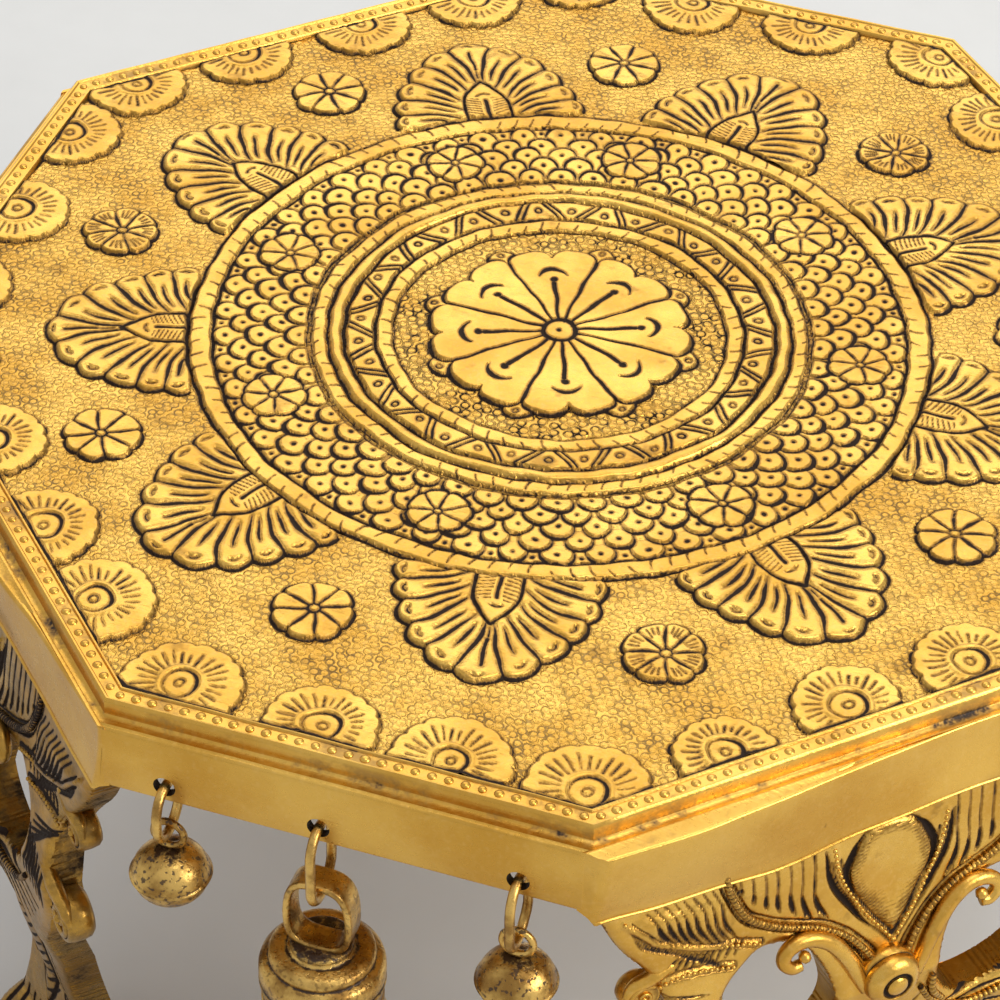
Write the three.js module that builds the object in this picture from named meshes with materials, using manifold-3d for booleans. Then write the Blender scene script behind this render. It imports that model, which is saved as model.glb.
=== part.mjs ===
// Bajot low table: an eight-sided cast brass tray on four pierced legs, hung with small bells.
// Millimetres, +Z up, origin on the floor under the middle, a bell side facing -Y.
import Module from "manifold-3d";
import * as THREE from "three";
import { mergeVertices } from "three/addons/utils/BufferGeometryUtils.js";

const wasm = await Module();
wasm.setup();

// Whole table
const tableHeight = 190;
const bellFlatApothem = 152.6;
const legFlatStep = 6;
const seatGap = 0.3;
const overrun = 1;
const weldTolerance = 1e-4;

// Section of the tray, from its top face down
const ledgeWidth = 3.8;
const riserHeight = 4.1;
const ledgeFall = 0.5;
const lipRound = 0.5;
const skirtDepth = 21.3;
const skirtWall = 2.2;
const plateThickness = 4.5;
const coveWidth = 5.3;
const coveDepth = 5;
const rimWidth = 5.2;
const fieldDepth = 1.25;

// Relief on the field
const medallionRadius = 85.8;
const medallionShiftX = -3.8;
const medallionSegments = 26;
const reliefHeight = 1;
const rosetteRadius = 30;
const rosettePetals = 8;
const rosetteNotchShare = 0.88;
const rosetteHubRadius = 4.5;
const rosetteHubSegments = 12;
const grooveWidth = 1;
const grooveDepth = 0.4;
const palmetteCount = 9;
const palmetteLength = 35.8;
const palmetteHalfWidth = 22;
const palmetteBulgeShare = 0.3;
const almondLength = 15.4;
const almondHalfWidth = 5.5;
const almondLift = 0.2;
const flowerRadius = 8.9;
const flowerPlaceRadius = 110;
const flowerPetals = 8;
const flowerNotchShare = 0.84;
const rimFlowerRadius = 12.9;
const rimFlowerPitch = 29.2;
const rimFlowerLobes = 8;
const rimFlowerNotchShare = 0.91;
const reliefSink = 0.4;

// Holes for the pendants, three to a bell side
const holeRadius = 2.5;
const bridgeHeight = 1.6;
const holePitch = 38.8;
const middleHoleShift = -4.6;
const holeSides = 8;

// Wire links
const wireRadius = 1.3;
const linkBend = 6.1;
const linkPlay = 0.17;
const linkSteps = 12;
const wireSides = 4;
const shortLinkDrop = 13.5;
const middleLinkDrop = 20;
const longLinkDrop = 18;
const hangGap = 0.4;

// Small round bells
const smallBellRadius = 9;
const smallBellHalfHeight = 7.6;
const smallBellWall = 1.2;
const smallBellSides = 8;
const smallEyeBend = 3.7;
const smallEyeThickness = 1.2;
const smallSlotWidth = 2;
const smallSlotReach = 5.4;
const pelletRadius = 2.2;
const pelletGap = 0.3;

// Turned middle bells
const bellMouthRadius = 20;
const bellHeight = 39.5;
const bellCrownRadius = 13.7;
const bellSides = 9;
const eyeBend = 7;
const eyeStretch = 3;
const eyeThickness = 1.3;
const eyeDepthShare = 2.6;
const crossPinRadius = 0.9;
const crossPinReachShare = 0.92;
const crossPinDrop = 10.5;
const clapperBall = 3.4;
const clapperRod = 1;
const clapperEyeWire = 0.7;
const clapperLength = 22;

// Legs
const legThickness = 8;
const legEndClearance = 2.2;
const bossRadius = 8.6;
const bossHeight = 7;
const knobRadius = 6;
const curlRadius = 8.5;
const scrollDepthShare = 0.72;
const scrollReachShare = 0.7;
const ropeRadius = 2.6;
const armRadius = 2.3;
const leafLift = 1.2;
const bossSides = 8;
const scrollSides = 7;
const ropeSteps = 4;
const ropeSides = 4;
const screwSides = 6;
const pelletSides = 6;
const clapperSides = 6;
const smallEyeSteps = 8;
const smallEyeSides = 4;
const bellEyeSteps = 10;
const bellEyeSides = 4;

// Fixing of the legs under the tray
const lugReachShare = 0.55;
const lugWidth = 18;
const lugThickness = 4;
const lugLength = 17;
const padDrop = 7.5;
const padRadius = 6.5;
const screwRadius = 2.5;
const screwClearance = 0.3;
const screwHeadRadius = 4.5;
const screwHeadHeight = 4;
const screwEngagement = 5;

const brass = { color: 0xd9b550, roughness: 0.34, metalness: 1 };
const darkBrass = { color: 0x9a7a3a, roughness: 0.45, metalness: 1 };
const steel = { color: 0x8a8a8c, roughness: 0.5, metalness: 1 };

const fullTurn = 2 * Math.PI;
const quarterTurn = Math.PI / 2;
const eighthTurn = Math.PI / 4;

// Places that several pieces share
const legFlatApothem = bellFlatApothem - legFlatStep;
const topZ = tableHeight;
const skirtZ = topZ - skirtDepth;
const fieldZ = topZ - fieldDepth;
const undersideZ = topZ - plateThickness;
const lipZ = topZ - riserHeight - ledgeFall;
const bridgeZ = skirtZ + bridgeHeight / 2;
const holeZ = skirtZ + bridgeHeight + holeRadius;
const skirtMiddleY = -(bellFlatApothem - skirtWall / 2);
const legHeight = skirtZ - seatGap;

// Solids and geometry

function tidyTriangles(geometry) {
  const bare = geometry.clone();
  for (const name of Object.keys(bare.attributes)) {
    if (name !== "position") bare.deleteAttribute(name);
  }
  const welded = mergeVertices(bare, weldTolerance);
  const corners = welded.index.array;
  const kept = [];
  for (let i = 0; i < corners.length; i += 3) {
    const [a, b, c] = [corners[i], corners[i + 1], corners[i + 2]];
    if (a !== b && b !== c && c !== a) kept.push(a, b, c);
  }
  welded.setIndex(kept);
  return welded;
}

function signedVolume(geometry) {
  const at = geometry.attributes.position;
  const corners = geometry.index.array;
  const [a, b, c] = [new THREE.Vector3(), new THREE.Vector3(), new THREE.Vector3()];
  let sum = 0;
  for (let i = 0; i < corners.length; i += 3) {
    a.fromBufferAttribute(at, corners[i]);
    b.fromBufferAttribute(at, corners[i + 1]);
    c.fromBufferAttribute(at, corners[i + 2]);
    sum += a.dot(b.cross(c));
  }
  return sum;
}

function solid(geometry) {
  const welded = tidyTriangles(geometry);
  const corners = Array.from(welded.index.array);
  if (signedVolume(welded) < 0) corners.reverse();
  return new wasm.Manifold(new wasm.Mesh({
    numProp: 3,
    vertProperties: new Float32Array(welded.attributes.position.array),
    triVerts: new Uint32Array(corners),
  }));
}

function geometryOf(body) {
  const mesh = body.getMesh();
  const geometry = new THREE.BufferGeometry();
  geometry.setAttribute("position", new THREE.BufferAttribute(new Float32Array(mesh.vertProperties), 3));
  geometry.setIndex(Array.from(mesh.triVerts));
  return geometry;
}

function join(geometries) {
  return geometries.map(solid).reduce((whole, piece) => whole.add(piece));
}

function cut(body, geometries) {
  return geometries.map(solid).reduce((rest, cutter) => rest.subtract(cutter), body);
}

// A profile of [radius, z] points turned about the Z axis
function turned(points, sides) {
  const profile = points.map(([r, z]) => new THREE.Vector2(r, z));
  return new THREE.LatheGeometry(profile, sides).rotateX(quarterTurn);
}

// An outline in the XY plane raised from z by height
function raised(points, z, height) {
  const shape = new THREE.Shape(points.map(([x, y]) => new THREE.Vector2(x, y)));
  return new THREE.ExtrudeGeometry(shape, { depth: height, bevelEnabled: false }).translate(0, 0, z);
}

// A round bar swept along a curve through 3-D points
function swept(points, radius, steps, sides) {
  const section = new THREE.Shape();
  for (let i = 0; i < sides; i++) {
    const angle = (i / sides) * fullTurn;
    const [x, y] = [radius * Math.cos(angle), radius * Math.sin(angle)];
    if (i === 0) section.moveTo(x, y);
    else section.lineTo(x, y);
  }
  section.closePath();
  const path = new THREE.CatmullRomCurve3(points.map((p) => new THREE.Vector3(...p)));
  return new THREE.ExtrudeGeometry(section, { steps, extrudePath: path, bevelEnabled: false });
}

// A wire ring in the YZ plane, stretched upright by a straight length
function wireRing(bend, radius, straight, steps, sides) {
  const ring = new THREE.TorusGeometry(bend, radius, sides, steps);
  ring.rotateZ(Math.PI / steps);
  ring.rotateY(quarterTurn);
  ring.rotateX(quarterTurn);
  const at = ring.attributes.position;
  for (let i = 0; i < at.count; i++) {
    const z = at.getZ(i);
    at.setZ(i, z + (Math.sign(z) * straight) / 2);
  }
  return ring;
}

function mesh(name, shape, finish) {
  const geometry = geometryOf(shape instanceof THREE.BufferGeometry ? solid(shape) : shape);
  const piece = new THREE.Mesh(geometry, new THREE.MeshStandardMaterial({ ...finish, flatShading: true }));
  piece.name = name;
  return piece;
}

// The eight corners of the tray's outline, drawn in by an inset, at one height
function octagonRing(inset, z) {
  const bellFlat = bellFlatApothem - inset;
  const legFlat = legFlatApothem - inset;
  const bellHalfSide = legFlat * Math.SQRT2 - bellFlat;
  const ring = [];
  for (let side = 0; side < 4; side++) {
    const turn = side * quarterTurn;
    for (const x of [-bellHalfSide, bellHalfSide]) {
      const corner = new THREE.Vector3(x, -bellFlat, z);
      ring.push(corner.applyAxisAngle(new THREE.Vector3(0, 0, 1), turn));
    }
  }
  return ring;
}

// An eight-sided turning: a section of [inset, z] points that starts and ends on the middle axis
function octagonTurning(section) {
  const [first, ...rest] = section;
  const last = rest.pop();
  const points = [new THREE.Vector3(0, 0, first[1])];
  for (const [inset, z] of rest) points.push(...octagonRing(inset, z));
  points.push(new THREE.Vector3(0, 0, last[1]));
  const corners = [];
  const end = points.length - 1;
  for (let i = 0; i < 8; i++) {
    const j = (i + 1) % 8;
    corners.push(0, 1 + i, 1 + j);
    for (let level = 0; level < rest.length - 1; level++) {
      const a = 1 + level * 8;
      const b = a + 8;
      corners.push(a + i, b + i, b + j, a + i, b + j, a + j);
    }
    corners.push(end, end - 8 + j, end - 8 + i);
  }
  const geometry = new THREE.BufferGeometry().setFromPoints(points);
  geometry.setIndex(corners);
  return geometry;
}

// Tray

function traySection() {
  const rimInset = ledgeWidth + rimWidth;
  return [
    [null, fieldZ],
    [rimInset, fieldZ],
    [rimInset, topZ],
    [ledgeWidth, topZ],
    [ledgeWidth, topZ - riserHeight],
    [lipRound, lipZ],
    [0, lipZ - lipRound],
    [0, skirtZ],
    [skirtWall, skirtZ],
    [skirtWall, undersideZ - coveDepth],
    [skirtWall + coveWidth, undersideZ],
    [null, undersideZ],
  ];
}

// Bands of the medallion and the grooves between them, as shares of its radius and of the relief's height
const medallionBandShares = [
  [0.449, 0], [0.453, 0.6], [0.495, 0.6], [0.501, 0.15], [0.506, 0.75], [0.572, 0.75], [0.579, 0.15],
  [0.585, 1], [0.618, 1], [0.624, 0.15], [0.629, 0.6], [0.668, 0.6], [0.677, 0.15], [0.687, 0.75],
  [0.933, 0.75], [0.938, 0.15], [0.943, 0.6], [0.995, 0.6], [1, 0],
];

function medallionBands() {
  const profile = medallionBandShares.map(([r, lift]) => [r * medallionRadius, fieldZ + lift * reliefHeight]);
  const sink = fieldZ - reliefSink;
  profile[0][1] = sink;
  profile[profile.length - 1][1] = sink;
  profile.push(profile[0]);
  return turned(profile, medallionSegments);
}

// An outline raised to the relief's height, its foot sunk in the field
function raisedRelief(outline) {
  return raised(outline, fieldZ - reliefSink, reliefSink + reliefHeight);
}

// A lobed outline: each lobe has its shoulders, given as shares of its own angle, and a notch after it
function lobedOutline(lobes, radius, notchShare, shoulderShares) {
  const points = [];
  const step = fullTurn / lobes;
  for (let i = 0; i < lobes; i++) {
    for (const [turn, reach] of [...shoulderShares.map((share) => [share, 1]), [1 / 2, notchShare]]) {
      const angle = (i + turn) * step;
      points.push([radius * reach * Math.cos(angle), radius * reach * Math.sin(angle)]);
    }
  }
  return points;
}

const bluntShoulderShares = [-0.25, 0.25];
const roundShoulderShares = [0];

function rosette() {
  const lobes = 2 * rosettePetals;
  return raisedRelief(lobedOutline(lobes, rosetteRadius, rosetteNotchShare, bluntShoulderShares));
}

// Grooves of V section: one round the rosette's hub and one between every two petals
function rosetteGrooves() {
  const half = grooveWidth / 2;
  const section = [[-half, overrun], [-half, 0], [0, -grooveDepth], [half, 0], [half, overrun]];
  const ring = [...section, section[0]].map(([out, z]) => [rosetteHubRadius + out, z]);
  const cutters = [turned(ring, rosetteHubSegments)];
  const outline = new THREE.Shape(section.map(([out, z]) => new THREE.Vector2(out, z)));
  const length = rosetteRadius - rosetteHubRadius;
  for (let i = 0; i < rosettePetals; i++) {
    const groove = new THREE.ExtrudeGeometry(outline, { depth: length, bevelEnabled: false });
    groove.rotateX(quarterTurn).translate(0, -rosetteHubRadius, 0);
    cutters.push(groove.rotateZ((i / rosettePetals) * fullTurn));
  }
  return cutters.map((cutter) => cutter.translate(0, 0, fieldZ + reliefHeight));
}

// Notches between a palmette's lobes from tip to base, as shares of its length and half width
const palmetteNotchShares = [[0.844, 0.236], [0.687, 0.573], [0.497, 0.768], [0.313, 0.9], [0.117, 0.973]];

function palmette() {
  const notches = palmetteNotchShares.map(([along, out]) => (
    new THREE.Vector2(medallionRadius + along * palmetteLength, out * palmetteHalfWidth)));
  const start = Math.sqrt(medallionRadius ** 2 - palmetteHalfWidth ** 2) - reliefSink;
  notches.push(new THREE.Vector2(start, palmetteHalfWidth));
  const side = [[medallionRadius + palmetteLength, 0]];
  notches.forEach((notch, i) => {
    side.push([notch.x, notch.y]);
    if (i === notches.length - 1) return;
    const chord = notches[i + 1].clone().sub(notch);
    const bulge = new THREE.Vector2(chord.y, -chord.x).multiplyScalar(palmetteBulgeShare);
    const lobe = notch.clone().add(notches[i + 1]).multiplyScalar(1 / 2).add(bulge);
    side.push([lobe.x, lobe.y]);
  });
  return raisedRelief([...side, ...mirroredAcross(side.slice(1))]);
}

// Almond at a palmette's heart, as shares of its length and half width
const almondShares = [[1, 0], [0.8, 0.5], [0.4, 1], [0, 0.9]];

function almond() {
  const side = almondShares.map(([along, out]) => [
    medallionRadius - reliefSink + along * almondLength, out * almondHalfWidth]);
  return raised([...side, ...mirroredAcross(side.slice(1))], fieldZ, reliefHeight + almondLift);
}

function mirroredAcross(points) {
  return points.map(([x, y]) => [x, -y]).reverse();
}

function flower() {
  return raisedRelief(lobedOutline(flowerPetals, flowerRadius, flowerNotchShare, roundShoulderShares));
}

// Flowers strung evenly along the rim's inner line, of which the rim leaves the inner half
function rimFlowers() {
  const ring = octagonRing(ledgeWidth + rimWidth, 0);
  const line = new THREE.CurvePath();
  ring.forEach((corner, i) => line.add(new THREE.LineCurve3(ring[(i + 1) % ring.length], corner)));
  const count = Math.round(line.getLength() / rimFlowerPitch);
  const outline = lobedOutline(rimFlowerLobes, rimFlowerRadius, rimFlowerNotchShare, roundShoulderShares);
  const flowers = [];
  for (let i = 0; i < count; i++) {
    const { x, y } = line.getPointAt(i / count);
    const facing = Math.atan2(y, x);
    flowers.push(raisedRelief(outline).rotateZ(facing).translate(x, y, 0));
  }
  const outer = octagonRing(ledgeWidth + rimWidth - reliefSink, 0).map((corner) => [corner.x, corner.y]);
  const field = solid(raised(outer, fieldZ - fieldDepth, 2 * fieldDepth));
  return join(flowers).intersect(field);
}

function legPads() {
  const pads = [];
  const holes = [];
  for (const [x, y, turn] of screwPlaces()) {
    const place = (geometry) => geometry.translate(x, y, 0).rotateZ(turn);
    const padZ = topZ - plateThickness - padDrop;
    const depthZ = padZ + screwEngagement + seatGap;
    pads.push(place(turned([[0, undersideZ + reliefSink], [padRadius, undersideZ + reliefSink],
      [padRadius, padZ], [0, padZ]], screwSides)));
    const boreRadius = screwRadius + screwClearance;
    holes.push(place(turned([[0, depthZ], [boreRadius, depthZ],
      [boreRadius, padZ - overrun], [0, padZ - overrun]], screwSides)));
  }
  return { pads, holes };
}

function pendantHoles() {
  const holes = [];
  for (let side = 0; side < 4; side++) {
    for (const x of holePlaces()) {
      const length = skirtWall + 2 * overrun;
      const hole = new THREE.CylinderGeometry(holeRadius, holeRadius, length, holeSides);
      holes.push(hole.translate(x, skirtMiddleY, holeZ).rotateZ(side * quarterTurn));
    }
  }
  return holes;
}

function holePlaces() {
  return [-holePitch, middleHoleShift, holePitch];
}

function tableTop() {
  const relief = [];
  for (let i = 0; i < palmetteCount; i++) {
    const angle = (i / palmetteCount) * fullTurn;
    const between = ((i + 0.5) / palmetteCount) * fullTurn;
    relief.push(palmette().rotateZ(angle), almond().rotateZ(angle));
    relief.push(flower().translate(flowerPlaceRadius, 0, 0).rotateZ(between));
  }
  const centred = (geometries) => geometries.map((piece) => piece.translate(medallionShiftX, 0, 0));
  const pattern = centred([medallionBands(), rosette(), ...relief]);
  const { pads, holes } = legPads();
  const tray = join([octagonTurning(traySection()), ...pattern, ...pads]).add(rimFlowers());
  return cut(tray, [...centred(rosetteGrooves()), ...holes, ...pendantHoles()]);
}

// Legs, modelled on the side that faces -Y and turned to their corners

// Outward swell of a leg's face from the skirt down, as shares of its height and thickness
const legSwellShares = [
  [0, 0], [0.12, 0.35], [0.26, 1.1], [0.42, 0.85], [0.6, -0.3],
  [0.78, -1.1], [0.9, -0.75], [0.96, 0.1], [1, 0.2],
];
const legDepthShares = [1, 1.05, 1.15, 1.15, 1.1, 1.15, 1.5, 2.1, 2];

function legHalfWidth() {
  return bellFlatApothem * Math.SQRT2 - legFlatApothem - legEndClearance;
}

function swellAt(depthShare) {
  const table = legSwellShares;
  let i = 1;
  while (i < table.length - 1 && table[i][0] < depthShare) i++;
  const [[d0, s0], [d1, s1]] = [table[i - 1], table[i]];
  const share = Math.min(1, Math.max(0, (depthShare - d0) / (d1 - d0)));
  return (s0 + (s1 - s0) * share) * legThickness;
}

// A point on a leg's outer face, from shares of its half width and height, lifted outwards
function onFace(xShare, depthShare, lift) {
  const y = -(legFlatApothem + swellAt(depthShare) + lift);
  return [xShare * legHalfWidth(), y, legHeight * (1 - depthShare)];
}

// Side profile of a leg as a bar across the whole leg
function legBar() {
  const front = legSwellShares.map(([depth, out]) => [legFlatApothem + out * legThickness, depth]);
  const back = legSwellShares.map(([depth, out], i) => [
    legFlatApothem + (out - legDepthShares[i]) * legThickness,
    depth,
  ]);
  const outline = [...front, ...back.reverse()].map(([out, depth]) => (
    new THREE.Vector2(out, legHeight * (1 - depth))));
  const width = 2 * (legHalfWidth() + overrun);
  const bar = new THREE.ExtrudeGeometry(new THREE.Shape(outline), { depth: width, bevelEnabled: false });
  const across = new THREE.Matrix4().makeBasis(
    new THREE.Vector3(0, -1, 0), new THREE.Vector3(0, 0, 1), new THREE.Vector3(-1, 0, 0));
  return bar.applyMatrix4(across).translate(width / 2, 0, 0);
}

// Right half of a leg seen from the front, as shares of its half width and height
const legOutlineShares = [
  [1, 0], [0.97, 0.06], [0.85, 0.125], [0.8, 0.2], [0.79, 0.31],
  [0.73, 0.37], [0.52, 0.52], [0.35, 0.64], [0.26, 0.74], [0.235, 0.82],
  [0.265, 0.89], [0.32, 0.95], [0.28, 1],
];
const legOpeningShares = [
  [0.405, 0.155], [0.5, 0.175], [0.58, 0.225], [0.57, 0.285], [0.41, 0.335],
  [0.27, 0.34], [0.2, 0.3], [0.205, 0.25], [0.26, 0.205], [0.37, 0.19],
];

// An outline in leg shares cut straight through from front to back
function throughLeg(shares) {
  const outline = shares.map(([x, depth]) => new THREE.Vector2(x * legHalfWidth(), legHeight * (1 - depth)));
  const depth = legFlatApothem;
  const block = new THREE.ExtrudeGeometry(new THREE.Shape(outline), { depth, bevelEnabled: false });
  const upright = new THREE.Matrix4().makeBasis(
    new THREE.Vector3(1, 0, 0), new THREE.Vector3(0, 0, 1), new THREE.Vector3(0, -1, 0));
  return block.applyMatrix4(upright).translate(0, -legFlatApothem / 2, 0);
}

function mirroredShares(shares) {
  return shares.map(([x, depth]) => [-x, depth]).reverse();
}

// Places of the carved forms, as shares of a leg's half width and height
const bossShare = [0, 0.272];
const knobShare = [0.84, 0.152];
const curlShare = [0.81, 0.285];
const ropeShares = [[0.53, 0.012], [0.46, 0.075], [0.35, 0.125], [0.22, 0.15], [0.13, 0.19], [0.09, 0.245]];
const armShares = [[0.1, 0.28], [0.155, 0.22], [0.22, 0.18], [0.3, 0.17], [0.35, 0.19], [0.33, 0.215]];
const leafShares = [[0, 0.215], [0.1, 0.14], [0.155, 0.075], [0.15, 0.03], [0.09, 0.006]];

// A scroll on one edge of a leg, its eye standing out from the edge
function edgeScroll(radius, [xShare, depthShare], hand) {
  const [x, y, z] = onFace(hand * xShare, depthShare, -legThickness / 2);
  return scroll(radius).translate(x + hand * scrollReachShare * radius, y, z);
}

function sweptOnFace(shares, radius, lift, hand) {
  return swept(shares.map(([x, depth]) => onFace(hand * x, depth, lift)), radius, ropeSteps, ropeSides);
}

// Domed boss with a raised button, as shares of its radius and height
const bossShares = [[0, 1], [0.42, 1], [0.5, 0.8], [0.85, 0.62], [1, 0]];

function boss() {
  const dome = bossShares.map(([r, out]) => [r * bossRadius, out * bossHeight]);
  const foot = -legThickness / 2;
  return turned([...dome, [bossRadius, foot], [0, foot]], bossSides).rotateX(quarterTurn);
}

// End of a scroll: a short round drum with a raised eye in front, as shares of its radius
const scrollShares = [[0, 1], [0.5, 1], [1, 0.5], [1, -0.8], [0, -0.8]];

function scroll(radius) {
  const drum = scrollShares.map(([r, out]) => [r * radius, out * scrollDepthShare * radius]);
  return turned(drum, scrollSides).rotateX(quarterTurn);
}

function centralLeaf() {
  const right = leafShares;
  const outline = [...right, ...mirroredShares(right).slice(0, -1)];
  const leaf = solid(throughLeg(outline));
  const skin = solid(legBar().translate(0, -leafLift, 0));
  return leaf.intersect(skin);
}

// Two tongues behind the skirt carry the screws
function lugs() {
  const lugX = lugReachShare * legHalfWidth();
  const frontY = -(legFlatApothem - skirtWall - seatGap);
  const topOfLug = topZ - plateThickness - padDrop - seatGap;
  const footZ = legHeight - lugThickness;
  const tongueZ = topOfLug - lugThickness;
  const section = [[frontY, footZ], [frontY + lugThickness, footZ], [frontY + lugThickness, tongueZ],
    [frontY + lugLength, tongueZ], [frontY + lugLength, topOfLug], [frontY, topOfLug]];
  const shape = new THREE.Shape(section.map(([y, z]) => new THREE.Vector2(y, z)));
  const across = new THREE.Matrix4().makeBasis(
    new THREE.Vector3(0, 1, 0), new THREE.Vector3(0, 0, 1), new THREE.Vector3(1, 0, 0));
  return [-lugX, lugX].map((x) => {
    const lug = new THREE.ExtrudeGeometry(shape, { depth: lugWidth, bevelEnabled: false });
    return lug.applyMatrix4(across).translate(x - lugWidth / 2, 0, 0);
  });
}

// Screw axes as [x, y, turn about the middle]
function screwPlaces() {
  const lugX = lugReachShare * legHalfWidth();
  const y = -(legFlatApothem - skirtWall - seatGap) + lugLength - padRadius;
  const places = [];
  for (let leg = 0; leg < 4; leg++) {
    for (const x of [-lugX, lugX]) places.push([x, y, legTurn(leg)]);
  }
  return places;
}

function legTurn(leg) {
  return eighthTurn + leg * quarterTurn;
}

function screwBores() {
  const topOfLug = topZ - plateThickness - padDrop;
  const boreRadius = screwRadius + screwClearance;
  return screwPlaces().slice(0, 2).map(([x, y]) => turned([
    [0, topOfLug + overrun], [boreRadius, topOfLug + overrun],
    [boreRadius, topOfLug - lugThickness - overrun], [0, topOfLug - lugThickness - overrun],
  ], screwSides).translate(x, y, 0));
}

function leg() {
  const outline = [...legOutlineShares, ...mirroredShares(legOutlineShares)];
  let body = solid(legBar()).intersect(solid(throughLeg(outline)));
  body = cut(body, [throughLeg(legOpeningShares), throughLeg(mirroredShares(legOpeningShares))]);
  const carved = [boss().translate(...onFace(...bossShare, 0))];
  for (const hand of [-1, 1]) {
    carved.push(edgeScroll(knobRadius, knobShare, hand));
    carved.push(edgeScroll(curlRadius, curlShare, hand));
    carved.push(sweptOnFace(ropeShares, ropeRadius, 0, hand));
    carved.push(sweptOnFace(armShares, armRadius, -armRadius, hand));
  }
  body = join([...carved, ...lugs()]).add(body).add(centralLeaf());
  return cut(body, screwBores());
}

// Half circle of [r, z] points from the top pole to the bottom pole
function ballProfile(radius, halfHeight, rings) {
  const points = [];
  for (let i = 0; i <= 2 * rings; i++) {
    const angle = (i / (2 * rings)) * Math.PI;
    const r = i === 0 || i === 2 * rings ? 0 : radius * Math.sin(angle);
    points.push([r, halfHeight * Math.cos(angle)]);
  }
  return points;
}

function screw([x, y]) {
  const seat = topZ - plateThickness - padDrop - seatGap - lugThickness - seatGap;
  const tip = topZ - plateThickness - padDrop + screwEngagement - seatGap;
  const profile = [[0, tip], [screwRadius, tip], [screwRadius, seat], [screwHeadRadius, seat],
    [screwHeadRadius, seat - screwHeadHeight], [0, seat - screwHeadHeight]];
  return turned(profile, screwSides).translate(x, y, 0);
}

// Pendants, modelled on the side that faces -Y

const linkTopZ = bridgeZ + Math.hypot(skirtWall, bridgeHeight) / 2 + linkPlay + wireRadius;

function link(drop) {
  const ring = wireRing(linkBend, wireRadius, drop - 2 * linkBend, linkSteps, wireSides);
  return ring.translate(0, 0, linkTopZ - drop / 2);
}

// Height of the wire that a bell hangs on
function hangZ(drop) {
  return linkTopZ - drop;
}

function smallBellMiddleZ(drop) {
  const eyeZ = hangZ(drop) + wireRadius + hangGap + smallEyeThickness - smallEyeBend;
  return eyeZ - smallEyeBend - smallBellHalfHeight;
}

function smallBell(drop) {
  const middle = smallBellMiddleZ(drop);
  const eye = new THREE.TorusGeometry(smallEyeBend, smallEyeThickness, smallEyeSides, smallEyeSteps);
  eye.rotateX(quarterTurn).translate(0, 0, middle + smallBellHalfHeight + smallEyeBend);
  const shell = turned(ballProfile(smallBellRadius, smallBellHalfHeight, 3), smallBellSides);
  const hollow = turned(
    ballProfile(smallBellRadius - smallBellWall, smallBellHalfHeight - smallBellWall, 2), smallBellSides);
  const slot = new THREE.BoxGeometry(2 * smallSlotReach, smallSlotWidth, smallBellHalfHeight);
  slot.translate(0, 0, middle - smallBellHalfHeight);
  return cut(join([shell.translate(0, 0, middle), eye]), [hollow.translate(0, 0, middle), slot]);
}

function pellet(drop) {
  const rest = smallBellMiddleZ(drop) - smallBellHalfHeight + smallBellWall + pelletRadius + pelletGap;
  return turned(ballProfile(pelletRadius, pelletRadius, 2), pelletSides).translate(0, 0, rest);
}

// Outside of a turned bell, as shares of its crown or mouth radius and of its height
const bellCrownShares = [[0.35, 0], [0.72, 0.05], [0.93, 0.15], [1, 0.25], [0.93, 0.385]];
const bellSkirtShares = [[0.71, 0.58], [0.86, 0.82], [1, 0.97], [1, 1]];
const bellHollowCrownShares = [[0, 0.08], [0.6, 0.1], [0.85, 0.25], [0.8, 0.385]];
const bellHollowSkirtShares = [[0.62, 0.58], [0.78, 0.82], [0.92, 1]];

function bellTopZ() {
  return hangZ(middleLinkDrop) + wireRadius + hangGap + eyeThickness - 2 * eyeBend - eyeStretch;
}

function bellProfile() {
  const scaled = (shares, radius) => shares.map(([r, down]) => [r * radius, bellTopZ() - down * bellHeight]);
  const outside = [...scaled(bellCrownShares, bellCrownRadius), ...scaled(bellSkirtShares, bellMouthRadius)];
  const inside = [
    ...scaled(bellHollowCrownShares, bellCrownRadius),
    ...scaled(bellHollowSkirtShares, bellMouthRadius),
  ];
  return [[0, bellTopZ()], ...outside, ...inside.reverse()];
}

function middleBell() {
  const eye = wireRing(eyeBend, eyeThickness, eyeStretch, bellEyeSteps, bellEyeSides);
  eye.scale(eyeDepthShare, 1, 1).rotateZ(quarterTurn).translate(0, 0, bellTopZ() + eyeBend + eyeStretch / 2);
  const pinLength = 2 * crossPinReachShare * bellCrownRadius;
  const pin = new THREE.CylinderGeometry(crossPinRadius, crossPinRadius, pinLength, clapperSides);
  pin.rotateZ(quarterTurn);
  pin.translate(0, 0, bellTopZ() - crossPinDrop);
  return join([turned(bellProfile(), bellSides), eye, pin]);
}

function clapper() {
  const pinZ = bellTopZ() - crossPinDrop;
  const eyeRadius = crossPinRadius + seatGap + clapperEyeWire;
  const eye = wireRing(eyeRadius, clapperEyeWire, 0, clapperSides, 4).translate(0, 0, pinZ);
  const top = pinZ - eyeRadius;
  const ball = ballProfile(clapperBall, clapperBall, 2).map(([r, z]) => [r, pinZ - clapperLength + z]);
  const rod = [[0, top], [clapperRod, top], [clapperRod, ball[1][1]]];
  return join([eye, turned([...rod, ...ball.slice(1)], clapperSides)]);
}

// Assembly

const legNames = ["front_right", "back_right", "back_left", "front_left"];

function legs() {
  const group = new THREE.Group();
  legNames.forEach((name, i) => {
    const piece = mesh(`leg_${name}`, leg(), brass);
    piece.rotation.z = legTurn(i);
    group.add(piece);
  });
  return group;
}

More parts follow.
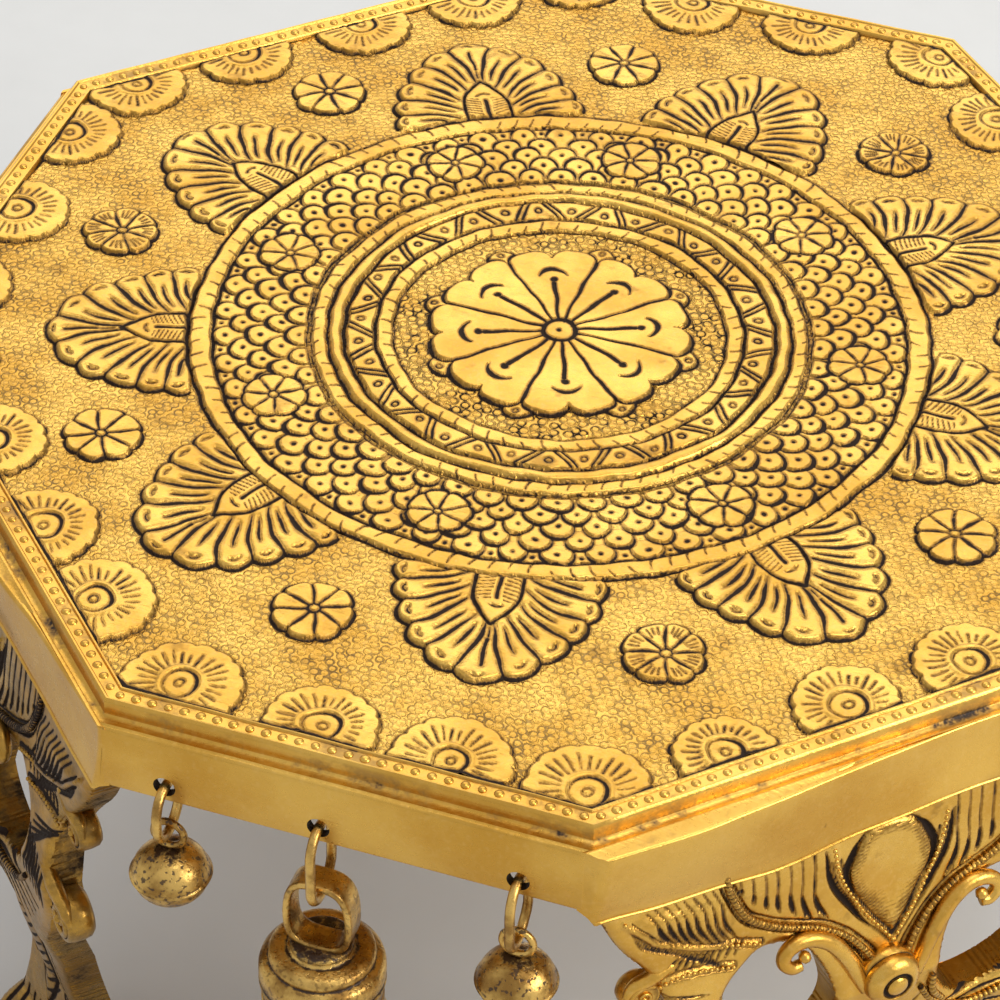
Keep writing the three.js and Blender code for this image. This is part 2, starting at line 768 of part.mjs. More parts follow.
function screws() {
  const group = new THREE.Group();
  screwPlaces().forEach((place, i) => {
    const hand = i % 2 === 0 ? "left" : "right";
    const piece = mesh(`screw_${legNames[Math.floor(i / 2)]}_${hand}`, screw(place), steel);
    piece.rotation.z = place[2];
    group.add(piece);
  });
  return group;
}

function pendants() {
  const group = new THREE.Group();
  const drops = [shortLinkDrop, middleLinkDrop, longLinkDrop];
  const places = ["a", "b", "c"];
  ["front", "right", "back", "left"].forEach((side, turn) => {
    const row = new THREE.Group();
    row.rotation.z = turn * quarterTurn;
    holePlaces().forEach((x, i) => {
      const pendant = new THREE.Group();
      pendant.position.set(x, skirtMiddleY, 0);
      const tag = `${side}_${places[i]}`;
      pendant.add(mesh(`link_${tag}`, link(drops[i]), darkBrass));
      if (i === 1) {
        pendant.add(mesh(`bell_${tag}`, middleBell(), darkBrass));
        pendant.add(mesh(`clapper_${tag}`, clapper(), darkBrass));
      } else {
        pendant.add(mesh(`ghungroo_${tag}`, smallBell(drops[i]), darkBrass));
        pendant.add(mesh(`pellet_${tag}`, pellet(drops[i]), steel));
      }
      row.add(pendant);
    });
    group.add(row);
  });
  return group;
}

const table = new THREE.Group();
table.add(mesh("table_top", tableTop(), brass));
table.add(legs());
table.add(screws());
table.add(pendants());

export default table;
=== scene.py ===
# Bajot low table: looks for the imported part, in metres, in the part's own frame
import math

import bmesh
import bpy
import numpy as np
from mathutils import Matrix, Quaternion, Vector


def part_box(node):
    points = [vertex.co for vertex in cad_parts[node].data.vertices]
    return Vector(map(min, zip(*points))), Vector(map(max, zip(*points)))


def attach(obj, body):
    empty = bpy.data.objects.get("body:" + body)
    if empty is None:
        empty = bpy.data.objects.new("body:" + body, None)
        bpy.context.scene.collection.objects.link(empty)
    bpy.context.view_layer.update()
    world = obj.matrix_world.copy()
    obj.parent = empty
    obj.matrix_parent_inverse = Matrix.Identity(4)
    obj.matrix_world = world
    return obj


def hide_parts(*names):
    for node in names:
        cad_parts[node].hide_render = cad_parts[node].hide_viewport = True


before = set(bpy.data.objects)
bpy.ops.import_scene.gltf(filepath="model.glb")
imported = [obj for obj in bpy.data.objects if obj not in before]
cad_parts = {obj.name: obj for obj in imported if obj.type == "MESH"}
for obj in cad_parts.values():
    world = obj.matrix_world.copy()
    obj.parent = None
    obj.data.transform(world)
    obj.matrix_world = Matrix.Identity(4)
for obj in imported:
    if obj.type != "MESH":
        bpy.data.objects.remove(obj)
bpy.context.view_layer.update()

# Units: lengths are metres, and the outlines and tables below that say so are millimetres
MM = 1e-3
PER_METRE = 1e3

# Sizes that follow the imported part
TRAY_LOW, TRAY_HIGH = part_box("table_top")
TOP_Z = TRAY_HIGH.z
SKIRT_Z = TRAY_LOW.z
BELL_FLAT = TRAY_HIGH.x
LEG_FLAT_STEP = 6.0e-3
LEG_FLAT = BELL_FLAT - LEG_FLAT_STEP
QUARTER = math.pi / 2
EIGHTH = math.pi / 4
FULL = 2 * math.pi
SIDES = ("front", "right", "back", "left")
LEGS = ("front_right", "back_right", "back_left", "front_left")

# Tray section
LEDGE = 3.8e-3
RISER = 4.1e-3
SKIRT_WALL = 2.2e-3
TRAY_COLUMNS = 24
PLATE = 4.5e-3
COVE = 5.3e-3
COVE_DEPTH = 5.0e-3
RIM = 5.2e-3
RIM_INSET = LEDGE + RIM
PANEL_SEAT = 1.6e-3
SEAT_Z = TOP_Z - RISER + 0.02e-3
FIELD_DEPTH = 1.25e-3
GROUND_Z = TOP_Z - FIELD_DEPTH
RELIEF_MAX = TOP_Z - GROUND_Z - 0.05e-3

# Holes for the pendants and pearls on the rim
PENDANT_PLACES = (-38.8e-3, -4.6e-3, 38.8e-3)
HOLE_RADIUS = 2.5e-3
HOLE_Z = SKIRT_Z + 1.6e-3 + HOLE_RADIUS
PEARL_PITCH = 3.6e-3
PEARL_INSET = 6.5e-3
PEARL_RADIUS = 1.15e-3
PEARL_START = 0.36

# Pattern on the tray
PATTERN_X = -3.8e-3
PATTERN_Y = 0.6e-3
CENTRE_ZONE = 38.7e-3
CENTRE_EDGE = CENTRE_ZONE - 0.1e-3
BANDS_EDGE = 62.0e-3
MEDALLION = 85.8e-3
HUB = 3.4e-3
PETALS = 8
PETAL_REACH = 30.2e-3
PETAL_NOTCH = 26.7e-3
BUD_PLACE = 29.2e-3
BUD_RADIUS = 3.5e-3
PIN_START = 4.9e-3
PIN_END = 17.4e-3
PIN_DOT = 18.9e-3
SMILE_RADIUS = 4.0e-3
SCALE_INNER = 58.9e-3
SCALE_OUTER = 80.1e-3
SCALE_ROWS = 5
SCALE_COUNT = 50
SCALE_RADIUS = 3.25e-3
SCALE_FLOWER_PLACE = 69.5e-3
SCALE_FLOWER_RADIUS = 7.1e-3
SCALE_FLOWER_DEGREES = (10, 52, 94, 130, 175, 220, 266, 319)
PALMETTES = 9
FLOWER_PLACE = 110.0e-3
FLOWER_RADIUS = 8.9e-3
RIM_FLOWER = 14.0e-3
CENTRE_PUNCH = 2.6e-3
BORDER_PUNCH = 2.25e-3
PUNCH_RING = 0.4
CREASE = math.radians(32)
PANEL_CREASE = math.radians(50)
CENTRE_GROUND = 1.6
BORDER_GROUND = 0.75
FINE_LINE = 0.2e-3
LINE = 0.36e-3
LINE_DEPTH = 0.4e-3
FAR = 9.0e-3

# Half flowers in millimetres: along the rim's inner line from the front left corner, in from it, radius
RIM_FLOWERS = (
    (10.6, 4.8, 13.3), (42.4, 3.2, 12.6), (70.9, 2.8, 13.2), (99.8, 4.2, 14.0), (133.9, 2.6, 11.3),
    (163.9, 4.4, 12.1), (193.5, 4.8, 12.4), (223.5, 3.5, 12.6), (253.5, 3.5, 12.2), (283.4, 3.5, 13),
    (313.4, 3.5, 12.4), (343.4, 3.5, 12.8), (373.4, 3.5, 12.2), (403.3, 3.5, 12.6), (433.3, 3.5, 12.4),
    (463.3, 2.6, 12.6), (500.1, 1.6, 12.4), (531.5, 2.5, 12.8), (562.9, 2.5, 12.4), (594.4, 2, 12.6),
    (625.8, 1.2, 12.6), (658.1, 1.2, 12.2), (687.8, 2, 12.8), (717.1, 2.2, 12.6), (750.5, 3.4, 12.4),
    (782.2, 3, 12.8), (814, 3, 12.4), (845.7, 3, 12.2), (877.4, 2.8, 12.6), (904.2, 4.6, 13),
)

# Bands between the rosette and the medallion's edge: inner and outer radius and how many marks go round
INNER_NOTCHES = (38.9e-3, 42.6e-3, 62)
ZIGZAG = (43.3e-3, 49.1e-3, 36)
PLAIN_BAND = (50.2e-3, 53.0e-3)
MIDDLE_NOTCHES = (54.0e-3, 57.3e-3, 84)
OUTER_NOTCHES = (80.9e-3, 85.3e-3, 120)
RING_LINES = ((38.5e-3, 0.28e-3), (42.95e-3, 0.45e-3), (49.65e-3, 0.46e-3), (53.5e-3, 0.42e-3),
              (57.65e-3, 0.24e-3), (58.6e-3, 0.24e-3), (80.4e-3, 0.42e-3), (85.8e-3, 0.42e-3))
RING_DEPTH = 0.5e-3

# Palmette in millimetres out from the medallion and across
LOBE_NOTCHES = ((30.2, 5.2), (24.6, 12.6), (17.8, 16.9), (11.2, 19.8), (4.2, 21.4), (-2.0, 22.0))
LOBE_ROOTS = ((15.4, 0.8), (12.8, 3.5), (8.6, 5.9), (4.4, 6.4), (0.6, 7.2), (-2.0, 12.0))
ALMOND = ((-2.0, 5.0), (3.0, 5.5), (6.2, 5.3), (9.6, 4.2), (12.8, 2.2), (15.4, 0))

# Fineness of the meshes
FINE_STEP = 0.376e-3
BORDER_PARTS = 5
BORDER_REACH = 0.148
BORDER_MIDDLE = 0.14


# Small maths for the relief

def smooth(low, high, value):
    share = np.clip((value - low) / (high - low), 0, 1)
    return share * share * (3 - 2 * share)


def chance(i, j, salt):
    return np.modf(np.abs(np.sin(i * 127.1 + j * 311.7 + salt * 74.7) * 43758.5453))[0]


def wobble(x, y):
    """Hand-drawn wander of every line, the same at the same place."""
    dx = 0.28e-3 * np.sin(310 * x + 140 * y + 1.3) + 0.16e-3 * np.sin(620 * y - 480 * x)
    dy = 0.28e-3 * np.sin(290 * y - 160 * x + 0.4) + 0.16e-3 * np.sin(560 * x + 510 * y + 2.1)
    return x + dx, y + dy


def fold(angle, count):
    """Angle from the nearest of count spokes, and that spoke's number."""
    step = FULL / count
    number = np.round(angle / step)
    return angle - number * step, number


class Relief:
    """Heights over a flat ground, with the distance to the nearest cut line."""

    def __init__(self, x, y):
        self.x, self.y = x, y
        self.base = np.zeros_like(x)
        self.cut = np.zeros_like(x)
        self.ink = np.full_like(x, FAR)
        self.plain = np.zeros_like(x)

    def lay(self, inside, height, shoulder):
        """A motif's surface, which covers what lies under it."""
        on = inside > 0
        curve = np.sqrt(np.clip(1 - (1 - np.clip(inside / shoulder, 0, 1)) ** 2, 0, 1))
        self.base = np.where(on, height * curve, self.base)
        self.cut = np.where(on, 0, self.cut)
        self.ink = np.where(on, FAR, self.ink)
        self.plain = np.where(on, 1, self.plain)

    def engrave(self, distance, half_width, depth=LINE_DEPTH):
        self.ink = np.minimum(self.ink, distance - half_width)
        groove = depth * (1 - smooth(0.2 * half_width, half_width + 0.22e-3, distance))
        self.cut = np.maximum(self.cut, groove)

    def swell(self, amount):
        """Raises the surface without covering its lines."""
        self.base = self.base + amount

    def edge(self, inside, half_width, depth=LINE_DEPTH):
        """A line along a motif's outline, mostly on the ground beside it."""
        self.engrave(np.abs(inside + 0.6 * half_width), half_width, depth)

    def height(self):
        return np.minimum(self.base - self.cut, RELIEF_MAX)


def outside(value, low, high):
    """How far a value lies past either end of a span."""
    return np.maximum(0, np.maximum(low - value, value - high))


# Motifs of the tray: r and a are the distance and angle from the pattern's middle, u and v the angle from
# the nearest spoke, and out and across are measured from a motif's own foot or middle

def centre_rosette(relief, r, a):
    step = FULL / PETALS
    u, _ = fold(a, PETALS)
    bud_r, bud_a = r * np.cos(u), r * np.sin(u)
    bud = BUD_RADIUS - np.hypot(bud_r - BUD_PLACE, bud_a)
    relief.lay(bud, 0.5e-3, 0.5e-3)
    relief.edge(bud, LINE)
    relief.engrave(np.abs(np.hypot(bud_r - BUD_PLACE - 1.8e-3, bud_a) - 0.65e-3), FINE_LINE)
    half_lobe = np.abs(np.mod(a, step / 2) / (step / 2) - 0.5) * 2
    reach = PETAL_NOTCH + (PETAL_REACH - PETAL_NOTCH) * np.sqrt(np.clip(1 - half_lobe ** 2.8, 0, 1))
    inside = (reach - r) * 0.92
    relief.lay(inside, 1.0e-3, 0.7e-3)
    relief.edge(inside, 0.42e-3)
    on_petal = r < reach + LINE
    relief.engrave(np.where(on_petal & (r > HUB), np.abs(r * np.sin(u)), FAR), 0.34e-3 + 0.004 * r)
    v, _ = fold(a - step / 2, PETALS)
    along, across = r * np.cos(v), np.abs(r * np.sin(v))
    past = outside(along, PIN_START, PIN_END)
    relief.engrave(np.hypot(across, past), 0.42e-3 + 0.018 * np.clip(along - PIN_START, 0, 1))
    relief.engrave(np.hypot(along - PIN_DOT, across), 0.95e-3)
    smile_turn = np.abs(np.arctan2(across, along - PIN_DOT))
    smile = np.abs(np.hypot(along - PIN_DOT, across) - SMILE_RADIUS)
    width = 0.62e-3 * np.cos(np.clip(smile_turn * 1.3, 0, QUARTER)) + 0.06e-3
    relief.engrave(np.where(smile_turn < 1.15, smile, FAR), width)
    relief.engrave(np.where(r < CENTRE_ZONE / 4, np.abs(r - HUB - 0.6e-3), FAR), 0.62e-3, 0.6e-3)
    relief.engrave(r, 0.75e-3)


def ring_line(relief, r, radius, half_width):
    relief.engrave(np.abs(r - radius), half_width, RING_DEPTH)


def band(relief, r, low, high, height, shoulder=0.7e-3):
    inside = np.minimum(r - low, high - r)
    relief.lay(inside, height, shoulder)
    return inside


def notched_band(relief, r, a, low, high, count, salt):
    """A band of bowed brackets, each with a small nick, that turn about now and then."""
    inside = band(relief, r, low, high, 0.6e-3, 0.5e-3)
    across = np.clip((r - low) / (high - low), 0, 1)
    flip = chance(np.floor(a * count / FULL / 5), salt, 2) > 0.5
    share = np.where(flip, 1 - across, across)
    turns = a * count / FULL + 0.42 * np.sqrt(np.clip(1 - (1 - share) ** 2, 0, 1))
    cell = np.round(turns)
    away = np.abs(turns - cell) * r * FULL / count
    strong = chance(cell, salt, 1)
    away = away + 1.4e-3 * smooth(0.35 + 0.4 * strong, 0.75 + 0.4 * strong, share)
    wide = (0.07 + 0.3 * strong * np.clip(1 - 3.2 * share, 0, 1)) * MM
    limit = np.where(inside > 0.3e-3, 0, FAR)
    relief.engrave(away + limit, wide, 0.12e-3 + 0.1e-3 * strong)


def zigzag_band(relief, r, a, low, high, pairs):
    """Pairs of slanting cuts that lean left and right by turns, a small ring between them."""
    band(relief, r, low, high, 0.75e-3, 0.5e-3)
    middle = (low + high) / 2
    u, number = fold(a, pairs)
    lean = np.where(np.mod(number, 2) > 0.5, 1.0, -1.0) * (0.5 + 0.3 * chance(number, 3, 1))
    across = r * u - lean * (r - middle)
    past = np.maximum(0, np.abs(r - middle) - 0.4 * (high - low))
    relief.engrave(np.hypot(np.abs(np.abs(across) - 0.82e-3), past), 0.4e-3)
    v, other = fold(a - math.pi / pairs, pairs)
    place = middle + (chance(other, 5, 1) - 0.5) * 1.2e-3
    relief.engrave(np.abs(np.hypot(r * v, r - place) - 0.8e-3), 0.24e-3)


def fish_scales(relief, r, a):
    """Rows of round scales, each inner row lying over the next one out."""
    band(relief, r, SCALE_INNER, SCALE_OUTER, 0.35e-3, 0.4e-3)
    row_pitch = (SCALE_OUTER - SCALE_INNER) / SCALE_ROWS
    limit = (r > SCALE_INNER) & (r < SCALE_OUTER)
    shy, _ = fold(a - (SCALE_ROWS % 2) * math.pi / SCALE_COUNT, SCALE_COUNT)
    filler = np.hypot(r - SCALE_OUTER + 1.5e-3, r * shy)
    relief.engrave(np.where(limit, filler, FAR), 0.55e-3)
    for row in range(SCALE_ROWS - 1, -1, -1):
        half_turn = (row % 2) * math.pi / SCALE_COUNT
        u, number = fold(a - half_turn, SCALE_COUNT)
        number = np.mod(number, SCALE_COUNT)
        centre = SCALE_INNER + (row + 0.25 + 0.1 * (chance(number, row, 5) - 0.5)) * row_pitch
        skew = 0.5e-3 * (chance(number, row, 6) - 0.5)
        radius = SCALE_RADIUS * (0.95 + 0.1 * chance(number, row, 7))
        out, across = r * np.cos(u) - centre, r * np.sin(u) - skew
        away = np.hypot(out, across)
        inside = np.where(limit & (out > -0.9 * row_pitch), radius - away, -FAR)
        relief.lay(inside, (0.55 + 0.2 * out / radius) * MM, 0.35e-3)
        facing = np.clip((out + 0.45 * radius) / np.maximum(away + 0.45 * radius, 1e-6), 0, 1)
        width = (0.05 + 0.48 * facing * (0.75 + 0.5 * chance(number, row, 3))) * MM
        lower = limit & (out > -0.4 * radius)
        relief.engrave(np.where(lower, np.abs(inside + 0.8 * width), FAR), width)
        dot = np.hypot(out - 0.12 * radius, across)
        relief.engrave(np.where(limit, dot, FAR), (0.45 + 0.2 * chance(number, row, 8)) * MM)


def flower(relief, x, y, radius, petals, turn, strokes, height=1.0e-3):
    """A flat flower of round petals parted by wedges, with fine strokes where strokes is over zero."""
    r, a = np.hypot(x, y), np.arctan2(y, x) - turn
    u, number = fold(a, petals)
    share = np.abs(u) * petals / math.pi
    reach = radius * (0.85 + 0.15 * np.sqrt(np.clip(1 - share ** 2.6, 0, 1)))
    inside = (reach - r) * 0.95
    near = r < radius + 1.0e-3
    relief.lay(inside, height * (0.78 + 0.22 * share), 0.5e-3)
    relief.edge(np.where(near, inside, -FAR), 0.38e-3)
    v, _ = fold(a - math.pi / petals, petals)
    divider = np.abs(r * np.sin(v)) + np.where((inside > 0) & (r > 0.16 * radius), 0, FAR)
    wedge = np.clip(1 - np.abs(r / radius - 0.5) / 0.5, 0, 1)
    relief.engrave(divider, 0.12e-3 + 0.036 * radius * wedge)
    s, mark = fold(a, petals * 5)
    low = (0.5 + 0.12 * chance(mark, 2, 1)) * radius
    past = outside(r, low, 0.84 * radius)
    limit = np.where((inside > 0) & (share < 0.62) & (strokes > 0), 0, FAR)
    relief.engrave(np.hypot(r * np.sin(s), past) + limit, 0.1e-3, 0.16e-3)
    relief.engrave(np.abs(r - 0.14 * radius), 0.25e-3)


def scale_flowers(relief, px, py):
    """Small flowers set among the scales."""
    for degrees in SCALE_FLOWER_DEGREES:
        turn = math.radians(degrees)
        x = px - SCALE_FLOWER_PLACE * math.cos(turn)
        y = py - SCALE_FLOWER_PLACE * math.sin(turn)
        flower(relief, x, y, SCALE_FLOWER_RADIUS, 7, turn, 0, 0.9e-3)


def lobes_inside(out, across):
    """Distance inside the palmette's outline: a body and a round lobe between each two notches."""
    notches = np.array(LOBE_NOTCHES) * MM
    body = np.vstack([[(-2e-3, -6e-3)], notches[::-1], [(notches[0][0], -6e-3)]])
    inside = inside_outline(out, across, body)
    pairs = [(notches[0] * (1, -1), notches[0])] + list(zip(notches[:-1], notches[1:]))
    for start, end in pairs:
        chord = end - start
        half = np.linalg.norm(chord) / 2
        bulge = 0.5 * half
        radius = (half ** 2 + bulge ** 2) / (2 * bulge)
        outward = np.array([chord[1], -chord[0]]) / (2 * half)
        centre = (start + end) / 2 + outward * (bulge - radius)
        lobe = radius - np.hypot(out - centre[0], across - centre[1])
        facing = (out - start[0]) * outward[0] + (across - start[1]) * outward[1]
        inside = np.maximum(inside, np.where(facing > -bulge, lobe, -FAR))
    return inside


def feather_line(low, high, start, end, lean):
    """Part of a bowed line from a root to the fan's edge, in millimetres."""
    low, high = np.array(low, float), np.array(high, float)
    middle = (low + high) / 2 + np.array([1.0, -0.55]) * lean
    t = np.linspace(start, end, 6)[:, None]
    return (1 - t) ** 2 * low + 2 * t * (1 - t) * middle + t ** 2 * high


def palmette(relief, out, across):
    """A fan of bowed feathers round an almond; out runs from the medallion's edge."""
    c = np.abs(across)
    near = (out > -1.5e-3) & (out < 38e-3) & (c < 25e-3)
    inside = np.where(near, lobes_inside(out, c), -FAR)
    relief.lay(inside, 0.85e-3, 0.8e-3)
    relief.edge(inside, 0.42e-3)
    limit = np.where(inside > 0, 0, FAR)
    roots, notches = LOBE_ROOTS, LOBE_NOTCHES
    for i, (root, notch) in enumerate(zip(roots[:-1], notches[:-1])):
        away, along, length = from_line(out, c, feather_line(root, notch, 0, 1, 1.9) * MM)
        share = along / length
        relief.engrave(away + limit, (0.2 + 0.36 * np.sin(math.pi * np.clip(share, 0, 0.9))) * MM)
        inner, outer = np.mean([root, roots[i + 1]], axis=0), np.mean([notch, notches[i + 1]], axis=0)
        away, along, length = from_line(out, c, feather_line(inner, outer, 0.12, 0.68, 1.9) * MM)
        relief.engrave(away + limit, 0.44e-3 * np.sqrt(np.clip(np.sin(math.pi * along / length), 0, 1)))
        tip, back = feather_line(inner, outer, 0.9, 1, 1.9)[[0, -1]] * MM
        ahead = (back - tip) / np.linalg.norm(back - tip)
        dx, dy = out - tip[0], c - tip[1]
        turn = (dx * ahead[0] + dy * ahead[1]) / np.maximum(np.hypot(dx, dy), 1e-6)
        bow = np.abs(np.hypot(dx, dy) - 1.25e-3) + np.where(turn > 0.35, 0, FAR)
        relief.engrave(bow + limit, 0.2e-3)
    for start, end, wide in ((20.5, 28.5, 0.42e-3), (16.8, 19.5, 0.2e-3)):
        past = outside(out, start * MM, end * MM)
        relief.engrave(np.hypot(c, past) + limit, wide)
    relief.engrave(np.abs(np.hypot(out - 30.4e-3, c) - 1.2e-3) + np.where(out > 31e-3, 0, FAR), 0.22e-3)
    relief.swell(np.where(inside > 0, 0.22e-3 * smooth(0.1e-3, 1.3e-3, relief.ink), 0))
    almond(relief, out, c)


def almond(relief, out, c):
    line = drawn(ALMOND)
    half = np.interp(out, line[:, 0], line[:, 1], left=-FAR, right=-FAR)
    slope = np.hypot(1, np.gradient(np.interp(line[:, 0], line[:, 0], line[:, 1]), line[:, 0]))
    inside = (half - c) / np.interp(out, line[:, 0], slope)
    relief.lay(inside, 1.05e-3, 0.6e-3)
    near = (out > -1e-3) & (out < 17e-3) & (c < 7e-3)
    edge, _, _ = from_line(out, c, line)
    relief.engrave(np.where(near, edge, FAR), 0.45e-3)
    past = outside(out, 0.8e-3, 7.4e-3)
    relief.engrave(np.hypot(c, past), 0.46e-3)
    bow = np.abs(np.hypot(out - 8.4e-3, c) - 1.7e-3) + np.where(out > 9.3e-3, 0, FAR)
    relief.engrave(bow, 0.24e-3)
    hatch = np.abs(np.mod(out - 0.3 * c, 1.15e-3) - 0.575e-3)
    limit = np.where((inside > 0.5e-3) & (out < 8.5e-3) & (c > 1.2e-3), 0, FAR)
    relief.engrave(hatch + limit, 0.04e-3, 0.12e-3)


def half_flower(relief, x, y, size):
    """A flower of shallow round lobes, ticks and an eye, cut off by the rim."""
    r, a = np.hypot(x, y), np.arctan2(y, x)
    lobes = 17
    u, number = fold(a, lobes)
    share = np.abs(u) * lobes / math.pi
    reach = size * (0.93 + 0.07 * np.sqrt(np.clip(1 - share ** 2.2, 0, 1)))
    inside = reach - r
    near = r < size + 1.5e-3
    relief.lay(inside, 0.95e-3, 0.55e-3)
    outline = 0.12e-3 + 0.28e-3 * chance(number, 4, 1)
    relief.engrave(np.where(near, np.abs(inside + 0.6 * outline), FAR), outline)
    s, mark = fold(a, 27)
    low, high = (5.7 + 0.7 * chance(mark, 7, 1)) * MM, (0.66 + 0.14 * chance(mark, 8, 1)) * size
    past = outside(r, low, high)
    wide = (0.04 + 0.18 * chance(mark, 9, 1)) * MM
    relief.engrave(np.hypot(r * np.sin(s), past), wide, 0.3e-3)
    # The eye is a cut ring with soot, widened towards the same side on every flower: that widening is
    # painted shade
    eye = 0.22e-3 + 0.26e-3 * np.clip(np.cos(a - 0.6), -0.4, 1)
    relief.engrave(np.abs(r - 3.8e-3) + np.where(near, 0, FAR), eye)
    relief.swell(np.where(near, 0.25e-3 * np.exp(-((r - 4.8e-3) / 0.5e-3) ** 2), 0))
    relief.engrave(np.abs(r - 1.05e-3), 0.17e-3)


def octagon_corner(inset, number, leg_inset=None):
    """Corner of the tray's outline drawn in by an inset, counted round from the front side."""
    bell, leg = BELL_FLAT - inset, LEG_FLAT - (inset if leg_inset is None else leg_inset)
    half = leg * math.sqrt(2) - bell
    turn = (number // 2) * QUARTER
    x, y = (-half if number % 2 == 0 else half), -bell
    return Vector((x * math.cos(turn) - y * math.sin(turn), x * math.sin(turn) + y * math.cos(turn)))


def octagon_lines(inset):
    """The eight sides of an octagon as (start, end, length)."""
    corners = [octagon_corner(inset, number) for number in range(8)]
    return [(start, end, (end - start).length) for start, end in zip(corners, corners[1:] + corners[:1])]


def on_octagon(lines, along):
    """The side that a length along an octagon falls on, and the length left over on it."""
    for start, end, length in lines:
        if along <= length:
            return start, end, along
        along -= length


def pearl_places():
    """Points spaced evenly along the rim."""
    lines = octagon_lines(PEARL_INSET)
    whole = sum(length for _, _, length in lines)
    count = round(whole / PEARL_PITCH)
    places = []
    for i in range(count):
        start, end, along = on_octagon(lines, (i + PEARL_START) / count * whole)
        places.append(start.lerp(end, along / (end - start).length))
    return places


def rim_flower_places():
    """Centres and radii of the half flowers, each on its own side of the rim."""
    lines = octagon_lines(RIM_INSET)
    places = []
    for along, inward, size in RIM_FLOWERS:
        start, end, rest = on_octagon(lines, along * MM)
        ahead = (end - start).normalized()
        place = start + ahead * rest + Vector((-ahead.y, ahead.x)) * inward * MM
        places.append((place, size * MM))
    return places


def side_apothem(side, inset):
    return (BELL_FLAT if side % 2 == 0 else LEG_FLAT) - inset


def octagon_inside(x, y, inset):
    """Distance inside an octagon, least over its sides."""
    depth = np.full_like(x, FAR * 100)
    for side in range(8):
        turn = side * EIGHTH
        out = x * math.sin(turn) - y * math.cos(turn)
        depth = np.minimum(depth, side_apothem(side, inset) - out)
    return depth


def punches(x, y, pitch):
    """Distance to the nearest of the ground's scattered ring punches."""
    row_pitch = pitch * math.sqrt(3) / 2
    j0 = np.floor(y / row_pitch)
    nearest = np.full_like(x, FAR)
    for dj in (-1, 0, 1, 2):
        j = j0 + dj
        shift = np.mod(j, 2) * 0.5
        i0 = np.floor(x / pitch - shift)
        for di in (-1, 0, 1, 2):
            i = i0 + di
            dx = x - (i + shift + 0.4 * (chance(i, j, 5) - 0.5)) * pitch
            dy = y - (j + 0.4 * (chance(i, j, 6) - 0.5)) * row_pitch
            nearest = np.minimum(nearest, np.hypot(dx, dy))
    return nearest


def tray_relief(x, y):
    wx, wy = wobble(x, y)
    px, py = wx - PATTERN_X, wy - PATTERN_Y
    r, a = np.hypot(px, py), np.arctan2(py, px)
    relief = Relief(x, y)
    if r.min() > MEDALLION - 1.0e-3:
        border_motifs(relief, wx, wy, px, py, r, a)
    else:
        medallion_motifs(relief, px, py, r, a)
    return relief


def medallion_motifs(relief, px, py, r, a):
    if r.min() < CENTRE_ZONE:
        centre_rosette(relief, r, a)
    notched_band(relief, r, a, *INNER_NOTCHES, 1)
    zigzag_band(relief, r, a, *ZIGZAG)
    band(relief, r, *PLAIN_BAND, 1.0e-3, 1.0e-3)
    notched_band(relief, r, a, *MIDDLE_NOTCHES, 2)
    fish_scales(relief, r, a)
    scale_flowers(relief, px, py)
    notched_band(relief, r, a, *OUTER_NOTCHES, 3)
    for radius, half in RING_LINES:
        ring_line(relief, r, radius, half)


def border_motifs(relief, wx, wy, px, py, r, a):
    u, _ = fold(a, PALMETTES)
    palmette(relief, r * np.cos(u) - MEDALLION, r * np.sin(u))
    v, number = fold(a - math.pi / PALMETTES, PALMETTES)
    strokes = np.where(np.mod(number, 3) == 1, 1, 0)
    flower(relief, r * np.cos(v) - FLOWER_PLACE, r * np.sin(v), FLOWER_RADIUS, 8, 0.2, strokes)
    relief.base = relief.base * smooth(MEDALLION, MEDALLION + 0.8e-3, r)
    depth = octagon_inside(wx, wy, RIM_INSET)
    if depth.min() < RIM_FLOWER + 7.0e-3:
        for place, size in rim_flower_places():
            near = np.hypot(wx - place.x, wy - place.y) < size + 2.0e-3
            if near.any():
                half_flower(relief, np.where(near, wx - place.x, FAR * 9), wy - place.y, size)
    ring_line(relief, r, MEDALLION, 0.42e-3)
    relief.engrave(np.abs(depth - 0.1e-3), 0.4e-3)


# Lines and outlines drawn through given points

def curve(points, steps=6, closed=False):
    """A smooth line through points."""
    points = np.array(points, float)
    if closed:
        padded = np.vstack([points[-1], points, points[0], points[1]])
    else:
        padded = np.vstack([2 * points[0] - points[1], points, 2 * points[-1] - points[-2]])
    line = []
    for i in range(1, len(padded) - 2):
        a, b, c, d = padded[i - 1:i + 3]
        for t in np.arange(steps) / steps:
            line.append(0.5 * (2 * b + (c - a) * t + (2 * a - 5 * b + 4 * c - d) * t ** 2
                               + (3 * b - a - 3 * c + d) * t ** 3))
    if not closed:
        line.append(points[-1])
    return np.array(line)


def even(line, pitch):
    """Points at even steps along a line."""
    steps = np.linalg.norm(np.diff(line, axis=0), axis=1)
    along = np.concatenate([[0], np.cumsum(steps)])
    count = max(2, int(round(along[-1] / pitch)) + 1)
    places = np.linspace(0, along[-1], count)
    return np.stack([np.interp(places, along, line[:, k]) for k in range(line.shape[1])], axis=-1)


def from_line(x, y, line):
    """Distance to a line and the length along it to the nearest point."""
    nearest = np.full_like(x, FAR * 9)
    along = np.zeros_like(x)
    passed = 0
    for (x0, y0), (x1, y1) in zip(line[:-1], line[1:]):
        length = math.hypot(x1 - x0, y1 - y0)
        if length == 0:
            continue
        share = np.clip(((x - x0) * (x1 - x0) + (y - y0) * (y1 - y0)) / length ** 2, 0, 1)
        away = np.hypot(x - x0 - share * (x1 - x0), y - y0 - share * (y1 - y0))
        closer = away < nearest
        nearest = np.where(closer, away, nearest)
        along = np.where(closer, passed + share * length, along)
        passed += length
    return nearest, along, passed


def drawn(points, steps=5):
    """A smooth line through points given in millimetres."""
    return curve(np.array(points) * MM, steps)


